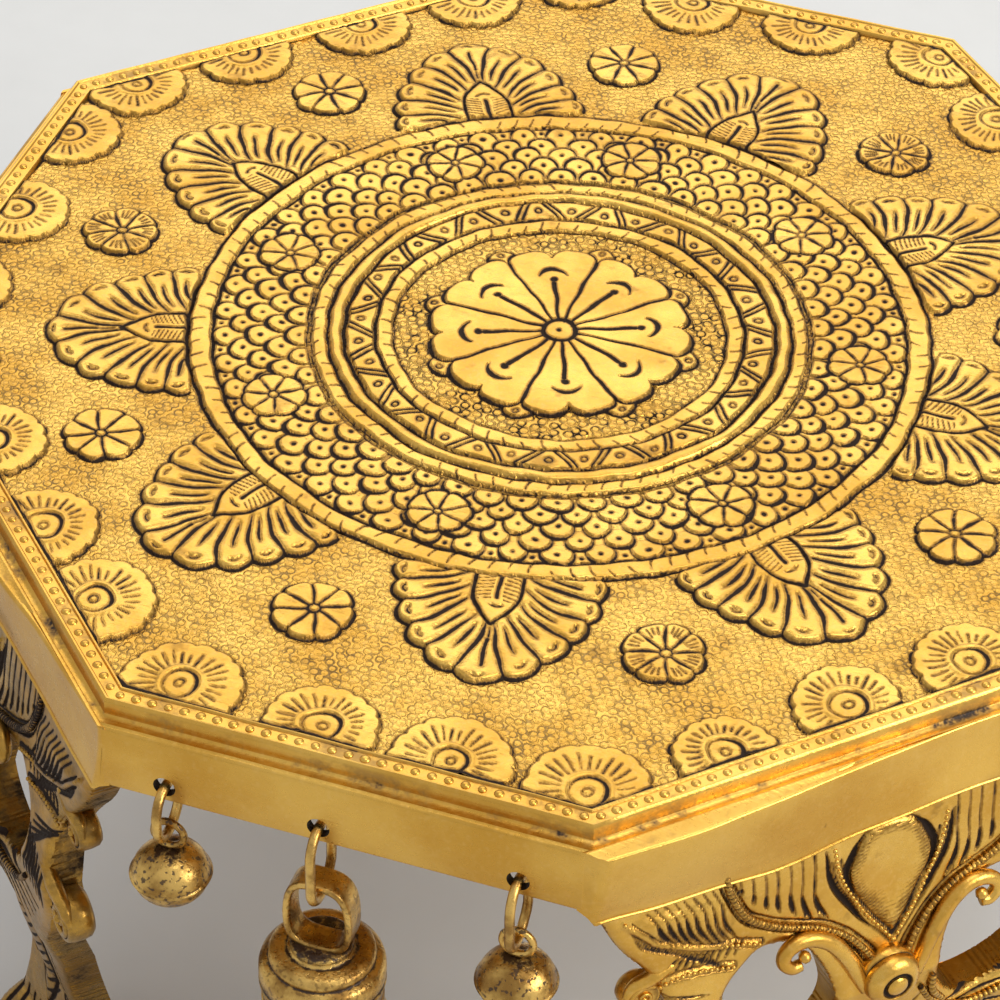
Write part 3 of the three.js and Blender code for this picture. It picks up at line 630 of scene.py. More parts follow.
def inside_halves(x, y, half):
    """Distance inside an outline whose right half is given, from the top down."""
    return inside_outline(x, y, np.vstack([half, (half * (-1, 1))[::-1]]))


def inside_outline(x, y, outline):
    """Distance inside a closed outline, negative outside it."""
    closed = np.vstack([outline, outline[:1]])
    away, _, _ = from_line(x, y, closed)
    odd = np.zeros(x.shape, bool)
    for (x0, y0), (x1, y1) in zip(closed[:-1], closed[1:]):
        if y0 != y1:
            odd ^= ((y0 > y) != (y1 > y)) & (x < (x1 - x0) * (y - y0) / (y1 - y0) + x0)
    return np.where(odd, away, -away)


def stroke(relief, x, y, points, half_width, depth=LINE_DEPTH, taper=1.0):
    """A cut that runs along a line and thins out at its ends by a taper's share."""
    away, along, length = from_line(x, y, drawn(points, 4))
    share = along / length
    thin = 1 - taper * (2 * share - 1) ** 2
    relief.engrave(away, half_width * thin, depth)


def turned(points, turn):
    """Points turned about the table's middle."""
    x = points[:, 0] * math.cos(turn) - points[:, 1] * math.sin(turn)
    y = points[:, 0] * math.sin(turn) + points[:, 1] * math.cos(turn)
    return np.stack([x, y, points[:, 2]], axis=-1)


class Batch:
    """Shapes gathered into one mesh, with their distances to cut lines in millimetres."""

    def __init__(self):
        self.points, self.faces, self.ink, self.age, self.count = [], [], [], [], 0

    def add(self, points, faces, ink=None, age=0.0):
        points = np.asarray(points, float).reshape(-1, 3)
        self.points.append(points)
        self.faces += [tuple(corner + self.count for corner in face) for face in faces]
        plain = np.full(len(points), FAR * PER_METRE)
        self.ink.append(plain if ink is None else np.asarray(ink, float).ravel())
        self.age.append(np.full(len(points), age))
        self.count += len(points)

    def take(self, piece):
        """Adds a finished piece's mesh and clears the piece away."""
        mesh = piece.data
        points = np.empty(len(mesh.vertices) * 3, np.float32)
        mesh.vertices.foreach_get("co", points)
        ink = None
        if "ink" in mesh.attributes:
            ink = np.empty(len(mesh.vertices), np.float32)
            mesh.attributes["ink"].data.foreach_get("value", ink)
        self.add(points.reshape(-1, 3), [tuple(face.vertices) for face in mesh.polygons], ink)
        bpy.data.objects.remove(piece)

    def piece(self, name, turn=0.0, age=0.0):
        points = turned(np.vstack(self.points), turn)
        ink, old = np.concatenate(self.ink), np.concatenate(self.age)
        return mesh_from(name, points, self.faces, {"ink": ink, "age": np.clip(old + age, 0, 1)})


def closed_grid(rings, sides):
    faces = grid_faces(rings, sides, closed=True).tolist()
    start, end = rings * sides, rings * sides + 1
    for i in range(sides):
        j = (i + 1) % sides
        faces.append((start, j, i))
        faces.append((end, (rings - 1) * sides + i, (rings - 1) * sides + j))
    return faces


def tube(batch, line, radii, sides=8, rib=0.0, rib_depth=0.0, lean=0.0):
    """A round bar along a line of points; ribs cross it at a pitch and lean round it."""
    line = np.asarray(line, float)
    radii = np.broadcast_to(np.asarray(radii, float), (len(line),))
    along = np.concatenate([[0], np.cumsum(np.linalg.norm(np.diff(line, axis=0), axis=1))])
    forward = np.gradient(line, axis=0)
    forward /= np.linalg.norm(forward, axis=1)[:, None]
    normal = np.cross(forward[0], (0.31, 0.17, 0.93))
    points, ink = [], []
    angle = np.arange(sides) * FULL / sides
    for i, (centre, ahead) in enumerate(zip(line, forward)):
        normal = normal - ahead * normal.dot(ahead)
        normal /= np.linalg.norm(normal)
        side = np.cross(ahead, normal)
        phase = np.zeros(sides)
        if rib:
            wave = along[i] / rib + lean * angle / FULL
            phase = np.abs(np.mod(wave, 1) - 0.5) * 2
            ink.append((1 - phase) * rib / 2 * PER_METRE - 0.12)
        radius = radii[i] - rib_depth * smooth(0.5, 1.0, phase)
        round_it = np.outer(np.cos(angle) * radius, normal) + np.outer(np.sin(angle) * radius, side)
        points.append(centre + round_it)
    points = np.vstack(points + [line[:1], line[-1:]])
    values = np.concatenate(ink + [[FAR, FAR]]) if rib else None
    batch.add(points, closed_grid(len(line), sides), values)


def lathe(batch, profile, sides, centre=(0, 0, 0), axis="z", ink=None, capped=True):
    """A turned form from (radius, along) pairs, closed at its ends or carried round as a ring."""
    profile = np.asarray(profile, float)
    if np.sum((profile[1:, 0] + profile[:-1, 0]) * np.diff(profile[:, 1])) < 0:
        profile = profile[::-1]
        ink = None if ink is None else ink[::-1]
    angle = np.arange(sides) * FULL / sides
    radius, along = profile[:, :1], profile[:, 1:]
    across, up = radius * np.cos(angle), radius * np.sin(angle)
    level = np.broadcast_to(along, across.shape)
    ends = np.array([[0, 0, profile[0, 1]], [0, 0, profile[-1, 1]]])
    points = np.vstack([np.stack([across, up, level], axis=-1).reshape(-1, 3), ends])
    if axis == "-y":
        points = np.stack([points[:, 0], -points[:, 2], points[:, 1]], axis=-1)
    values = None
    if ink is not None:
        spread = np.broadcast_to(np.asarray(ink, float)[:, None], across.shape).ravel()
        values = np.concatenate([spread, [ink[0], ink[-1]]])
    if capped:
        faces = closed_grid(len(profile), sides)
    else:
        faces = grid_faces(len(profile) + 1, sides, closed=True) % (len(profile) * sides)
        faces, points = faces.tolist(), points[:-2]
    batch.add(points + np.asarray(centre), faces, values)


def bead(batch, centre, radius, flat=1.0):
    rings, sides = 3, 7
    rise = (np.arange(1, rings + 1) / (rings + 1)) * math.pi
    profile = np.stack([radius * np.sin(rise), radius * np.cos(rise) * flat], axis=-1)
    profile = np.vstack([[radius * 0.05, radius * flat], profile, [radius * 0.05, -radius * flat]])
    lathe(batch, profile, sides, centre, "-y")


# Meshes from arrays

def grid_faces(rows, columns, closed=False):
    row = np.arange(rows - 1)[:, None]
    last = columns if closed else columns - 1
    column = np.arange(last)[None, :]
    after = (column + 1) % columns
    a = row * columns + column
    b = row * columns + after
    return np.stack([a, b, b + columns, a + columns], axis=-1).reshape(-1, 4)


def mesh_from(name, points, faces, values=None, smooth_shaded=True):
    mesh = bpy.data.meshes.new(name)
    faces = faces.tolist() if isinstance(faces, np.ndarray) else faces
    mesh.from_pydata(points.reshape(-1, 3).tolist(), [], faces)
    for key, value in (values or {}).items():
        layer = mesh.attributes.new(key, "FLOAT", "POINT")
        layer.data.foreach_set("value", np.ascontiguousarray(value.ravel(), np.float32))
    mesh.update()
    if smooth_shaded:
        mesh.shade_smooth()
    piece = bpy.data.objects.new(name, mesh)
    bpy.context.scene.collection.objects.link(piece)
    return piece


def relief_sheet(name, x, y, faces, pitch):
    """Ground and motifs as one sheet, with its values for the chased brass."""
    relief = tray_relief(x, y)
    share = punches(x, y, pitch) / (PUNCH_RING * pitch)
    bare = (1 - relief.plain) * (BORDER_GROUND if pitch == BORDER_PUNCH else CENTRE_GROUND)
    ring = 0.05e-3 * np.clip(1 - share, 0, 1) - 0.12e-3 * np.exp(-((share - 1) / 0.3) ** 2)
    ring = np.where(relief.cut > 0, 0, ring) * np.clip(bare * 1.8, 0, 1.5)
    uneven = 0.05e-3 * np.sin(700 * x + 2 * np.sin(400 * y)) * np.sin(650 * y + 1.0)
    z = GROUND_Z + relief.height() + ring + uneven
    values = {"ink": relief.ink * PER_METRE, "bare": bare, "punch": share}
    return mesh_from(name, np.stack([x, y, z], axis=-1), faces, values)


def weld(piece):
    """Joins points that lie on each other, at a sheet's seam and pole."""
    mesh = bmesh.new()
    mesh.from_mesh(piece.data)
    bmesh.ops.remove_doubles(mesh, verts=mesh.verts, dist=1e-6)
    mesh.to_mesh(piece.data)
    mesh.free()
    return piece


def ring_radii(low, high):
    rows = max(2, int(round((high - low) / FINE_STEP)) + 1)
    return np.linspace(low, high, rows)


def medallion_sheets():
    sheets = []
    zones = (("centre", 0, CENTRE_EDGE, 1), ("bands", CENTRE_EDGE, BANDS_EDGE, 2),
             ("scales", BANDS_EDGE, MEDALLION, 3))
    for label, low, high, parts in zones:
        radii = ring_radii(low, high)
        columns = int(FULL * high / FINE_STEP / parts) + 1
        for part in range(parts):
            angles = np.linspace(0, FULL / parts, columns) + part * FULL / parts
            grid_r, grid_a = np.meshgrid(radii, angles, indexing="ij")
            x = PATTERN_X + grid_r * np.cos(grid_a)
            y = PATTERN_Y + grid_r * np.sin(grid_a)
            name = f"tray_{label}" if parts == 1 else f"tray_{label}_{part + 1}"
            sheets.append(weld(relief_sheet(name, x, y, grid_faces(*grid_r.shape), CENTRE_PUNCH)))
    return sheets


def border_reach(angles):
    """Distance from the pattern's middle to the rim's inner line along each angle."""
    reach = np.full_like(angles, 1.0)
    for side in range(8):
        turn = side * EIGHTH
        nx, ny = math.sin(turn), -math.cos(turn)
        facing = nx * np.cos(angles) + ny * np.sin(angles)
        room = side_apothem(side, RIM_INSET) - (nx * PATTERN_X + ny * PATTERN_Y)
        reach = np.where(facing > 1e-3, np.minimum(reach, room / np.maximum(facing, 1e-3)), reach)
    return reach


def border_sheets():
    sheets = []
    step = FINE_STEP * 1.1
    rows = int((BORDER_REACH - MEDALLION) / step) + 1
    columns = int(FULL * BORDER_MIDDLE / step / BORDER_PARTS) + 1
    for part in range(BORDER_PARTS):
        angles = np.linspace(0, FULL / BORDER_PARTS, columns) + part * FULL / BORDER_PARTS
        share = np.linspace(0, 1, rows)[:, None]
        reach = border_reach(angles)[None, :]
        grid_r = MEDALLION + share * (reach - MEDALLION)
        x = PATTERN_X + grid_r * np.cos(angles)[None, :]
        y = PATTERN_Y + grid_r * np.sin(angles)[None, :]
        name = f"tray_border_{part + 1}"
        sheets.append(relief_sheet(name, x, y, grid_faces(rows, columns), BORDER_PUNCH))
    return sheets


# Materials

class Nodes:
    """A material's node tree, built by short calls."""

    def __init__(self, name):
        self.material = bpy.data.materials.new(name)
        self.material.use_nodes = True
        self.tree = self.material.node_tree
        self.shader = self.tree.nodes["Principled BSDF"]

    def add(self, kind, **settings):
        node = self.tree.nodes.new(kind)
        for key, value in settings.items():
            setattr(node, key, value)
        return node

    def link(self, source, target):
        self.tree.links.new(source, target)

    def put(self, socket, value):
        if isinstance(value, bpy.types.NodeSocket):
            self.link(value, socket)
        else:
            socket.default_value = value

    def math(self, operation, a, b=0.0):
        node = self.add("ShaderNodeMath", operation=operation)
        self.put(node.inputs[0], a)
        self.put(node.inputs[1], b)
        return node.outputs[0]

    def plus(self, a, b):
        return self.math("ADD", a, b)

    def less(self, a, b):
        return self.math("SUBTRACT", a, b)

    def times(self, a, b):
        return self.math("MULTIPLY", a, b)

    def most(self, a, b):
        return self.math("MAXIMUM", a, b)

    def feed(self, **sources):
        """Links values to the shader's own sockets."""
        for name, source in sources.items():
            self.link(source, self.shader.inputs[SOCKETS[name]])

    def ramp(self, value, low, high, start=0.0, end=1.0):
        node = self.add("ShaderNodeMapRange", interpolation_type="SMOOTHSTEP")
        self.put(node.inputs["Value"], value)
        for key, number in (("From Min", low), ("From Max", high), ("To Min", start), ("To Max", end)):
            self.put(node.inputs[key], number)
        return node.outputs[0]

    def mix(self, share, a, b):
        node = self.add("ShaderNodeMix", data_type="RGBA")
        self.put(node.inputs[0], share)
        self.put(node.inputs[6], a)
        self.put(node.inputs[7], b)
        return node.outputs[2]

    def attribute(self, name):
        return self.add("ShaderNodeAttribute", attribute_name=name).outputs["Fac"]

    def position(self):
        return self.add("ShaderNodeTexCoord").outputs["Object"]

    def noise(self, scale, detail=3.0, roughness=0.5):
        node = self.add("ShaderNodeTexNoise")
        self.link(self.position(), node.inputs["Vector"])
        node.inputs["Scale"].default_value = scale
        node.inputs["Detail"].default_value = detail
        node.inputs["Roughness"].default_value = roughness
        return node.outputs["Fac"]

    def bump(self, height, strength, distance):
        node = self.add("ShaderNodeBump")
        self.put(node.inputs["Height"], height)
        node.inputs["Strength"].default_value = strength
        node.inputs["Distance"].default_value = distance
        self.link(node.outputs[0], self.shader.inputs["Normal"])


SOCKETS = {"colour": "Base Color", "metal": "Metallic", "shine": "Specular IOR Level",
           "roughness": "Roughness"}

GOLD = (0.75, 0.455, 0.096, 1)
DEEP_GOLD = (0.60, 0.32, 0.05, 1)
PALE_GOLD = (0.92, 0.65, 0.26, 1)
UMBER = (0.17, 0.075, 0.016, 1)
SOOT = (0.018, 0.008, 0.003, 1)
BELL_BRASS = (0.72, 0.46, 0.13, 1)
BELL_BROWN = (0.30, 0.16, 0.04, 1)
BELL_SOOT = (0.035, 0.015, 0.006, 1)
DARK_STEEL = (0.24, 0.23, 0.22, 1)
PALE_STEEL = (0.42, 0.41, 0.4, 1)
DARK_FLOOR = (0.62, 0.62, 0.60, 1)
PALE_FLOOR = (0.66, 0.66, 0.64, 1)


def scratches(nodes, along, across, turn):
    """Fine brush marks that run one way over a face."""
    node = nodes.add("ShaderNodeMapping")
    nodes.link(nodes.position(), node.inputs["Vector"])
    node.inputs["Rotation"].default_value = (0, 0, turn)
    node.inputs["Scale"].default_value = (along, across, across)
    noise = nodes.add("ShaderNodeTexNoise")
    nodes.link(node.outputs[0], noise.inputs["Vector"])
    noise.inputs["Scale"].default_value = 1
    noise.inputs["Detail"].default_value = 2
    return noise.outputs["Fac"]


def brass_tones(nodes, grain, cloud, bloom):
    """Worn gilding: deeper and paler patches and a fine pale bloom."""
    tone = nodes.mix(nodes.ramp(cloud, 0.32, 0.66), GOLD, DEEP_GOLD)
    return nodes.mix(nodes.times(nodes.ramp(grain, 0.48, 0.72), bloom), tone, PALE_GOLD)


def chased_brass():
    nodes = Nodes("chased_brass")
    ink, bare, punch = nodes.attribute("ink"), nodes.attribute("bare"), nodes.attribute("punch")
    grain = nodes.noise(950, 4, 0.6)
    cloud = nodes.noise(42, 4, 0.6)
    wander = nodes.less(nodes.noise(210, 2, 0.5), 0.5)
    ragged = nodes.times(nodes.less(grain, 0.5), 0.3)
    edge = nodes.plus(ink, nodes.plus(ragged, nodes.times(wander, 0.55)))
    age = nodes.attribute("age")
    edge = nodes.less(edge, nodes.times(age, 0.5))
    line = nodes.ramp(edge, 0.03, -0.16)
    size = nodes.ramp(nodes.noise(260, 1), 0.3, 0.7, 0.86, 1.14)
    rim = nodes.math("ABSOLUTE", nodes.less(punch, size))
    broken = nodes.ramp(nodes.noise(330, 2), 0.40, 0.62)
    drawn = nodes.ramp(bare, 0, CENTRE_GROUND, 0, CENTRE_GROUND)
    circle = nodes.times(nodes.times(nodes.ramp(rim, 0.24, 0.06), drawn), broken)
    patina = nodes.ramp(cloud, 0.36, 0.62, 0.2, 0.95)
    soot = nodes.most(line, nodes.times(circle, patina))
    # The age value crusts, dulls and darkens the brass: real age, and on the legs painted shade as well
    crust = nodes.ramp(nodes.noise(120, 6, 0.75), 0.38, 0.68)
    soot = nodes.most(soot, nodes.times(nodes.math("POWER", age, 1.6), crust))
    halo = nodes.ramp(nodes.plus(edge, ragged), 0.5, 0.0, 0, 0.75)
    stain = nodes.times(nodes.ramp(nodes.noise(75, 4, 0.65), 0.6, 0.72), 0.5)
    tone = brass_tones(nodes, grain, cloud, 0.18)
    dull = nodes.most(nodes.most(halo, stain), nodes.times(age, 0.55))
    tone = nodes.mix(dull, tone, UMBER)
    worn = nodes.plus(nodes.ramp(grain, 0.25, 0.75, 0.2, 0.34), nodes.ramp(cloud, 0.3, 0.7, 0, 0.1))
    nodes.feed(colour=nodes.mix(soot, tone, SOOT), metal=nodes.ramp(soot, 0, 1, 1.0, 0.0),
               shine=nodes.ramp(soot, 0, 1, 0.5, 0.2), roughness=nodes.most(worn, nodes.times(soot, 0.7)))
    groove = nodes.ramp(ink, 0.25, -0.2, 1, 0)
    dish = nodes.times(nodes.ramp(rim, 0.4, 0.0), bare)
    brushed = nodes.plus(scratches(nodes, 60, 2400, 0.5), scratches(nodes, 80, 2600, -0.9))
    height = nodes.less(groove, nodes.times(dish, 0.9))
    height = nodes.plus(height, nodes.times(nodes.noise(380, 3, 0.6), 0.7))
    height = nodes.plus(height, nodes.times(brushed, nodes.ramp(age, 0, 0.04, 0.12, 0.01)))
    nodes.bump(height, 0.75, 0.0003)
    return nodes.material


def plain_brass():
    """Rim, ledge and skirt: brushed, with soot blots in the valleys that the stain value marks. The same
    value paints shade on the ledge's wall, and the hole value paints shade inside the skirt's holes.
    """
    nodes = Nodes("plain_brass")
    stain_and_shade = nodes.attribute("stain")
    cloud = nodes.noise(26, 4, 0.6)
    grain = nodes.noise(700, 4, 0.6)
    tone = brass_tones(nodes, grain, cloud, 0.12)
    blots_and_shade = nodes.times(nodes.ramp(nodes.noise(60, 5, 0.75), 0.47, 0.66), stain_and_shade)
    specks = nodes.times(nodes.ramp(nodes.noise(210, 3, 0.7), 0.70, 0.78), 0.5)
    tone = nodes.mix(nodes.most(blots_and_shade, specks), tone, UMBER)
    # Hole walls join the blots: painted shade inside the skirt's holes
    blots_and_shade = nodes.most(blots_and_shade, nodes.attribute("hole"))
    worn = nodes.plus(nodes.ramp(grain, 0.3, 0.7, 0.26, 0.36), nodes.times(blots_and_shade, 0.3))
    nodes.feed(colour=nodes.mix(nodes.ramp(blots_and_shade, 0.55, 1.0), tone, SOOT),
               metal=nodes.ramp(blots_and_shade, 0, 1, 1, 0.1), roughness=worn)
    brushed = nodes.plus(scratches(nodes, 30, 1800, 0), scratches(nodes, 30, 1800, EIGHTH))
    height = nodes.plus(nodes.times(grain, 0.6), nodes.times(brushed, 0.35))
    nodes.bump(nodes.plus(height, nodes.times(cloud, 2)), 0.3, 0.0003)
    return nodes.material


def tarnished_brass():
    """Pendants: pale worn brass with brown patches, small dark dashes and soot in the turned lines."""
    nodes = Nodes("tarnished_brass")
    cloud = nodes.noise(110, 4, 0.6)
    grain = nodes.noise(1100, 4, 0.6)
    tone = nodes.mix(nodes.ramp(cloud, 0.40, 0.64), BELL_BRASS, BELL_BROWN)
    uneven = nodes.times(nodes.less(nodes.noise(420, 4, 0.7), 0.5), 2.2)
    line = nodes.ramp(nodes.plus(nodes.attribute("ink"), uneven), 0.3, -0.15)
    dashes = nodes.times(nodes.ramp(nodes.noise(880, 1, 0.5), 0.60, 0.66), 0.85)
    soot = nodes.most(line, nodes.times(dashes, nodes.attribute("age")))
    nodes.feed(colour=nodes.mix(soot, tone, BELL_SOOT), metal=nodes.ramp(soot, 0, 1, 1, 0.3),
               roughness=nodes.ramp(grain, 0.3, 0.7, 0.24, 0.42))
    height = nodes.plus(grain, nodes.less(cloud, nodes.times(soot, 1.5)))
    nodes.bump(height, 0.3, 0.0003)
    return nodes.material


def grey_steel():
    nodes = Nodes("grey_steel")
    grain = nodes.noise(800, 3, 0.6)
    nodes.shader.inputs["Metallic"].default_value = 1
    nodes.feed(colour=nodes.mix(grain, DARK_STEEL, PALE_STEEL),
               roughness=nodes.ramp(grain, 0.3, 0.7, 0.35, 0.55))
    nodes.bump(grain, 0.2, 0.0002)
    return nodes.material


def dress(piece, material):
    piece.data.materials.clear()
    piece.data.materials.append(material)
    return piece


# Tray body under the relief

def octagon_turning(name, section, columns):
    """A section of (inset, z, stain) points carried round the eight sides, closed at both ends. The stain
    value marks real blots and, on the ledge's wall, painted shade.
    """
    corners = []
    for inset, z, _ in section:
        leg_inset = max(inset, PANEL_SEAT) if z < SEAT_Z else inset
        corners.append([tuple(octagon_corner(inset, number, leg_inset)) for number in range(8)])
    share = np.arange(columns)[None, :, None] / columns
    rows = []
    for ring in np.array(corners):
        after = np.roll(ring, -1, axis=0)
        rows.append((ring[:, None] * (1 - share) + after[:, None] * share).reshape(-1, 2))
    flat = np.stack(rows)
    level = np.array([z for _, z, _ in section])[:, None]
    free = np.array([inset > 0.3e-3 for inset, _, _ in section])[:, None]
    waver = 0.09e-3 * np.sin(260 * flat[..., 0] + 1) * np.sin(230 * flat[..., 1]) - 0.06e-3
    z = np.broadcast_to(level, flat.shape[:2]) + np.where(free & (level > TOP_Z - 1.2 * RISER), waver, 0)
    points = np.stack([flat[..., 0], flat[..., 1], np.minimum(z, TOP_Z)], axis=-1)
    stain = np.broadcast_to(np.array([mark for _, _, mark in section])[:, None], flat.shape[:2])
    faces = grid_faces(len(section), flat.shape[1], closed=True)[:, ::-1].tolist()
    count = flat.shape[1]
    faces.append(tuple(range(count)))
    faces.append(tuple(reversed(range(flat[..., 0].size - count, flat[..., 0].size))))
    piece = mesh_from(name, points, faces, {"stain": stain})
    piece.data.set_sharp_from_angle(angle=CREASE)
    return piece


def tray_section():
    """From under the relief over the rim and ledge, down the skirt and back along the underside."""
    ledge_z = TOP_Z - RISER
    under_z = TOP_Z - PLATE
    middle = BELL_FLAT * 0.7
    return [
        (middle, TOP_Z - 2.4e-3, 0), (RIM_INSET + 0.4e-3, TOP_Z - 2.4e-3, 1),
        (RIM_INSET + 0.1e-3, TOP_Z - 1.3e-3, 1), (RIM_INSET - 0.05e-3, TOP_Z - 0.6e-3, 0.3),
        (RIM_INSET - 0.3e-3, TOP_Z - 0.2e-3, 0), (RIM_INSET - 0.7e-3, TOP_Z - 0.1e-3, 0),
        (RIM_INSET - 1.0e-3, TOP_Z - 0.55e-3, 1), (RIM_INSET - 1.3e-3, TOP_Z - 0.5e-3, 0.6),
        (LEDGE + 1.7e-3, TOP_Z - 0.48e-3, 0.5), (LEDGE + 1.3e-3, TOP_Z - 0.44e-3, 0.5),
        (LEDGE + 1.0e-3, TOP_Z - 0.08e-3, 0), (LEDGE + 0.6e-3, TOP_Z, 0),
        # The stain values on the ledge's wall (inset LEDGE) are raised as painted shade; those on the
        # valley floor below are real blots
        (LEDGE + 0.2e-3, TOP_Z - 0.35e-3, 0), (LEDGE, TOP_Z - 0.9e-3, 0.4),
        (LEDGE, ledge_z + 0.9e-3, 0.7), (LEDGE - 0.15e-3, ledge_z + 0.3e-3, 1),
        (LEDGE - 0.6e-3, ledge_z - 0.05e-3, 1), (LEDGE - 1.4e-3, ledge_z - 0.15e-3, 0.8),
        (1.6e-3, ledge_z - 0.12e-3, 0.15), (1.2e-3, ledge_z - 0.05e-3, 0), (0.8e-3, ledge_z - 0.3e-3, 0.1),
        (0.5e-3, ledge_z - 0.32e-3, 0), (0.15e-3, ledge_z - 0.65e-3, 0),
        (0, ledge_z - 1.1e-3, 0), (0, SKIRT_Z + 0.9e-3, 0), (0.15e-3, SKIRT_Z + 0.3e-3, 0.2),
        (0.5e-3, SKIRT_Z, 0.4), (SKIRT_WALL - 0.4e-3, SKIRT_Z, 0.4), (SKIRT_WALL, SKIRT_Z + 0.4e-3, 0.4),
        (SKIRT_WALL, under_z - COVE_DEPTH, 0.7),
        (SKIRT_WALL + 0.3 * COVE, under_z - 0.45 * COVE_DEPTH, 0.7),
        (SKIRT_WALL + COVE, under_z, 0.6), (SKIRT_WALL + 4 * COVE, under_z, 0.4), (middle, under_z, 0.5),
    ]


def pierce(piece, cutters):
    """Cuts closed shapes out of a piece and clears them away."""
    for cutter in cutters:
        cut = piece.modifiers.new("cut", "BOOLEAN")
        cut.operation = "DIFFERENCE"
        cut.solver = "EXACT"
        cut.object = cutter
    graph = bpy.context.evaluated_depsgraph_get()
    pierced = bpy.data.meshes.new_from_object(piece.evaluated_get(graph))
    piece.modifiers.clear()
    old, piece.data = piece.data, pierced
    bpy.data.meshes.remove(old)
    pierced.set_sharp_from_angle(angle=CREASE)
    # Walls of the skirt's holes get a hole value, which the plain brass paints as soot: painted shade
    # inside the holes
    holes = pierced.attributes.new("hole", "FLOAT", "FACE")
    for face in pierced.polygons:
        out = max(abs(face.center.x), abs(face.center.y))
        near = abs(face.center.z - HOLE_Z) < HOLE_RADIUS and BELL_FLAT - SKIRT_WALL < out < BELL_FLAT
        facing = max(abs(face.normal.x), abs(face.normal.y))
        holes.data[face.index].value = near and (abs(face.normal.z) > 0.02 or facing < 0.9)
    for cutter in cutters:
        bpy.data.objects.remove(cutter)
    return piece


def skirt_holes():
    """One cutter for the holes of all four bell sides."""
    batch = Batch()
    out = BELL_FLAT - SKIRT_WALL / 2
    profile = [(HOLE_RADIUS, -0.7 * SKIRT_WALL), (HOLE_RADIUS, 0.7 * SKIRT_WALL)]
    for side in range(4):
        turn = side * QUARTER
        for x in PENDANT_PLACES:
            hole = Batch()
            lathe(hole, profile, 28, (x, -out, HOLE_Z), "-y")
            batch.add(turned(hole.points[0], turn), hole.faces)
    return batch.piece("hole_cutter")


def rim_pearls():
    """A row of small pearls along the rim's top."""
    batch = Batch()
    rise = np.linspace(0.12, 1.0, 4) * QUARTER
    for place in pearl_places():
        size = PEARL_RADIUS * (0.85 + 0.3 * chance(place.x * 1e4, place.y * 1e4, 3))
        profile = np.stack([size * np.sin(rise), 0.62 * size * (np.cos(rise) - 1)], axis=-1)
        lathe(batch, profile, 12, (place.x, place.y, TOP_Z - 0.02e-3))
    return batch.piece("rim_pearls")


# Leg sides' panels, pads, lugs and screws, drawn on the side that faces -Y

PANEL_HALF = BELL_FLAT * math.sqrt(2) - LEG_FLAT
PANEL_BOW_A = ((-66, 2.1), (-60, 2.5), (-51, 2.9), (-45, 2.9), (-37, 2.1), (-28, 1.7), (-20, 1.1),
               (-10, 0.5), (3, -0.4), (15, -1.1), (26, -1.1), (66, -0.6))
PANEL_BOW_B = ((-66, 1.4), (-20, 1.9), (10, 1.9), (20, 1.7), (25, 1.2), (30, 0.6), (35, -0.1),
               (44, -0.5), (53, -0.7), (66, -1.2))
PANEL_SEAM = ((-66, 2.6), (-57, 3.6), (-45, 3.8), (-37, 4.3), (-29, 4.9), (-21, 4.4), (-8, 2.7),
              (4, 2.0), (16, 1.3), (24, 0.9), (45, 1.2), (66, 1.6))
PANEL_COLUMNS = 140
PANEL_BACK = -2.4e-3
PANEL_END_GAP = 0.06e-3
BOW_SPREAD = 5
SEAM_SPREAD = 3
SCREW_X = 36.9e-3
SCREW_Y = 133.6e-3
SEAT_HEIGHT = 173.4e-3
BORE = 2.8e-3
PAD_RADIUS = 6.5e-3
PAD_Z = 178.0e-3
SCREW_HEAD_HEIGHT = 4e-3
SCREW_HEAD = ((0.4, 0), (2.6, 0.1), (3.7, 0.5), (4.3, 1.2), (4.5, 2), (4.5, 3.7), (4.2, 4), (2.5, 4))
SCREW_END = (1.6, 182.7)
THREAD_CREST = 2.5
THREAD_ROOT = 2.15
THREAD_STEP = 0.4
SCREW_SLOT_HALF = 6e-3
SCREW_SLOT_WIDTH = 1.1e-3
SCREW_SLOT_DEPTH = 1.5e-3
LUG_HALF = 9e-3
LUG_AGE = 0.5
LUG = ((-144.1, 164.4), (-140.9, 164.4), (-140.1, 165.2), (-140.1, 172.6), (-139.0, 173.7),
       (-127.6, 173.7), (-127.1, 174.2), (-127.1, 177.2), (-127.6, 177.7), (-144.1, 177.7))


def along_panel(x, table, waver, spread):
    """A table's amounts at each place across, with a slight waver, evened over its neighbours."""
    places, amounts = np.array(table).T * MM
    padded = np.pad(np.interp(x, places, amounts) + waver, spread, "edge")
    width = 2 * spread + 1
    return np.convolve(padded, np.ones(width) / width, "valid")


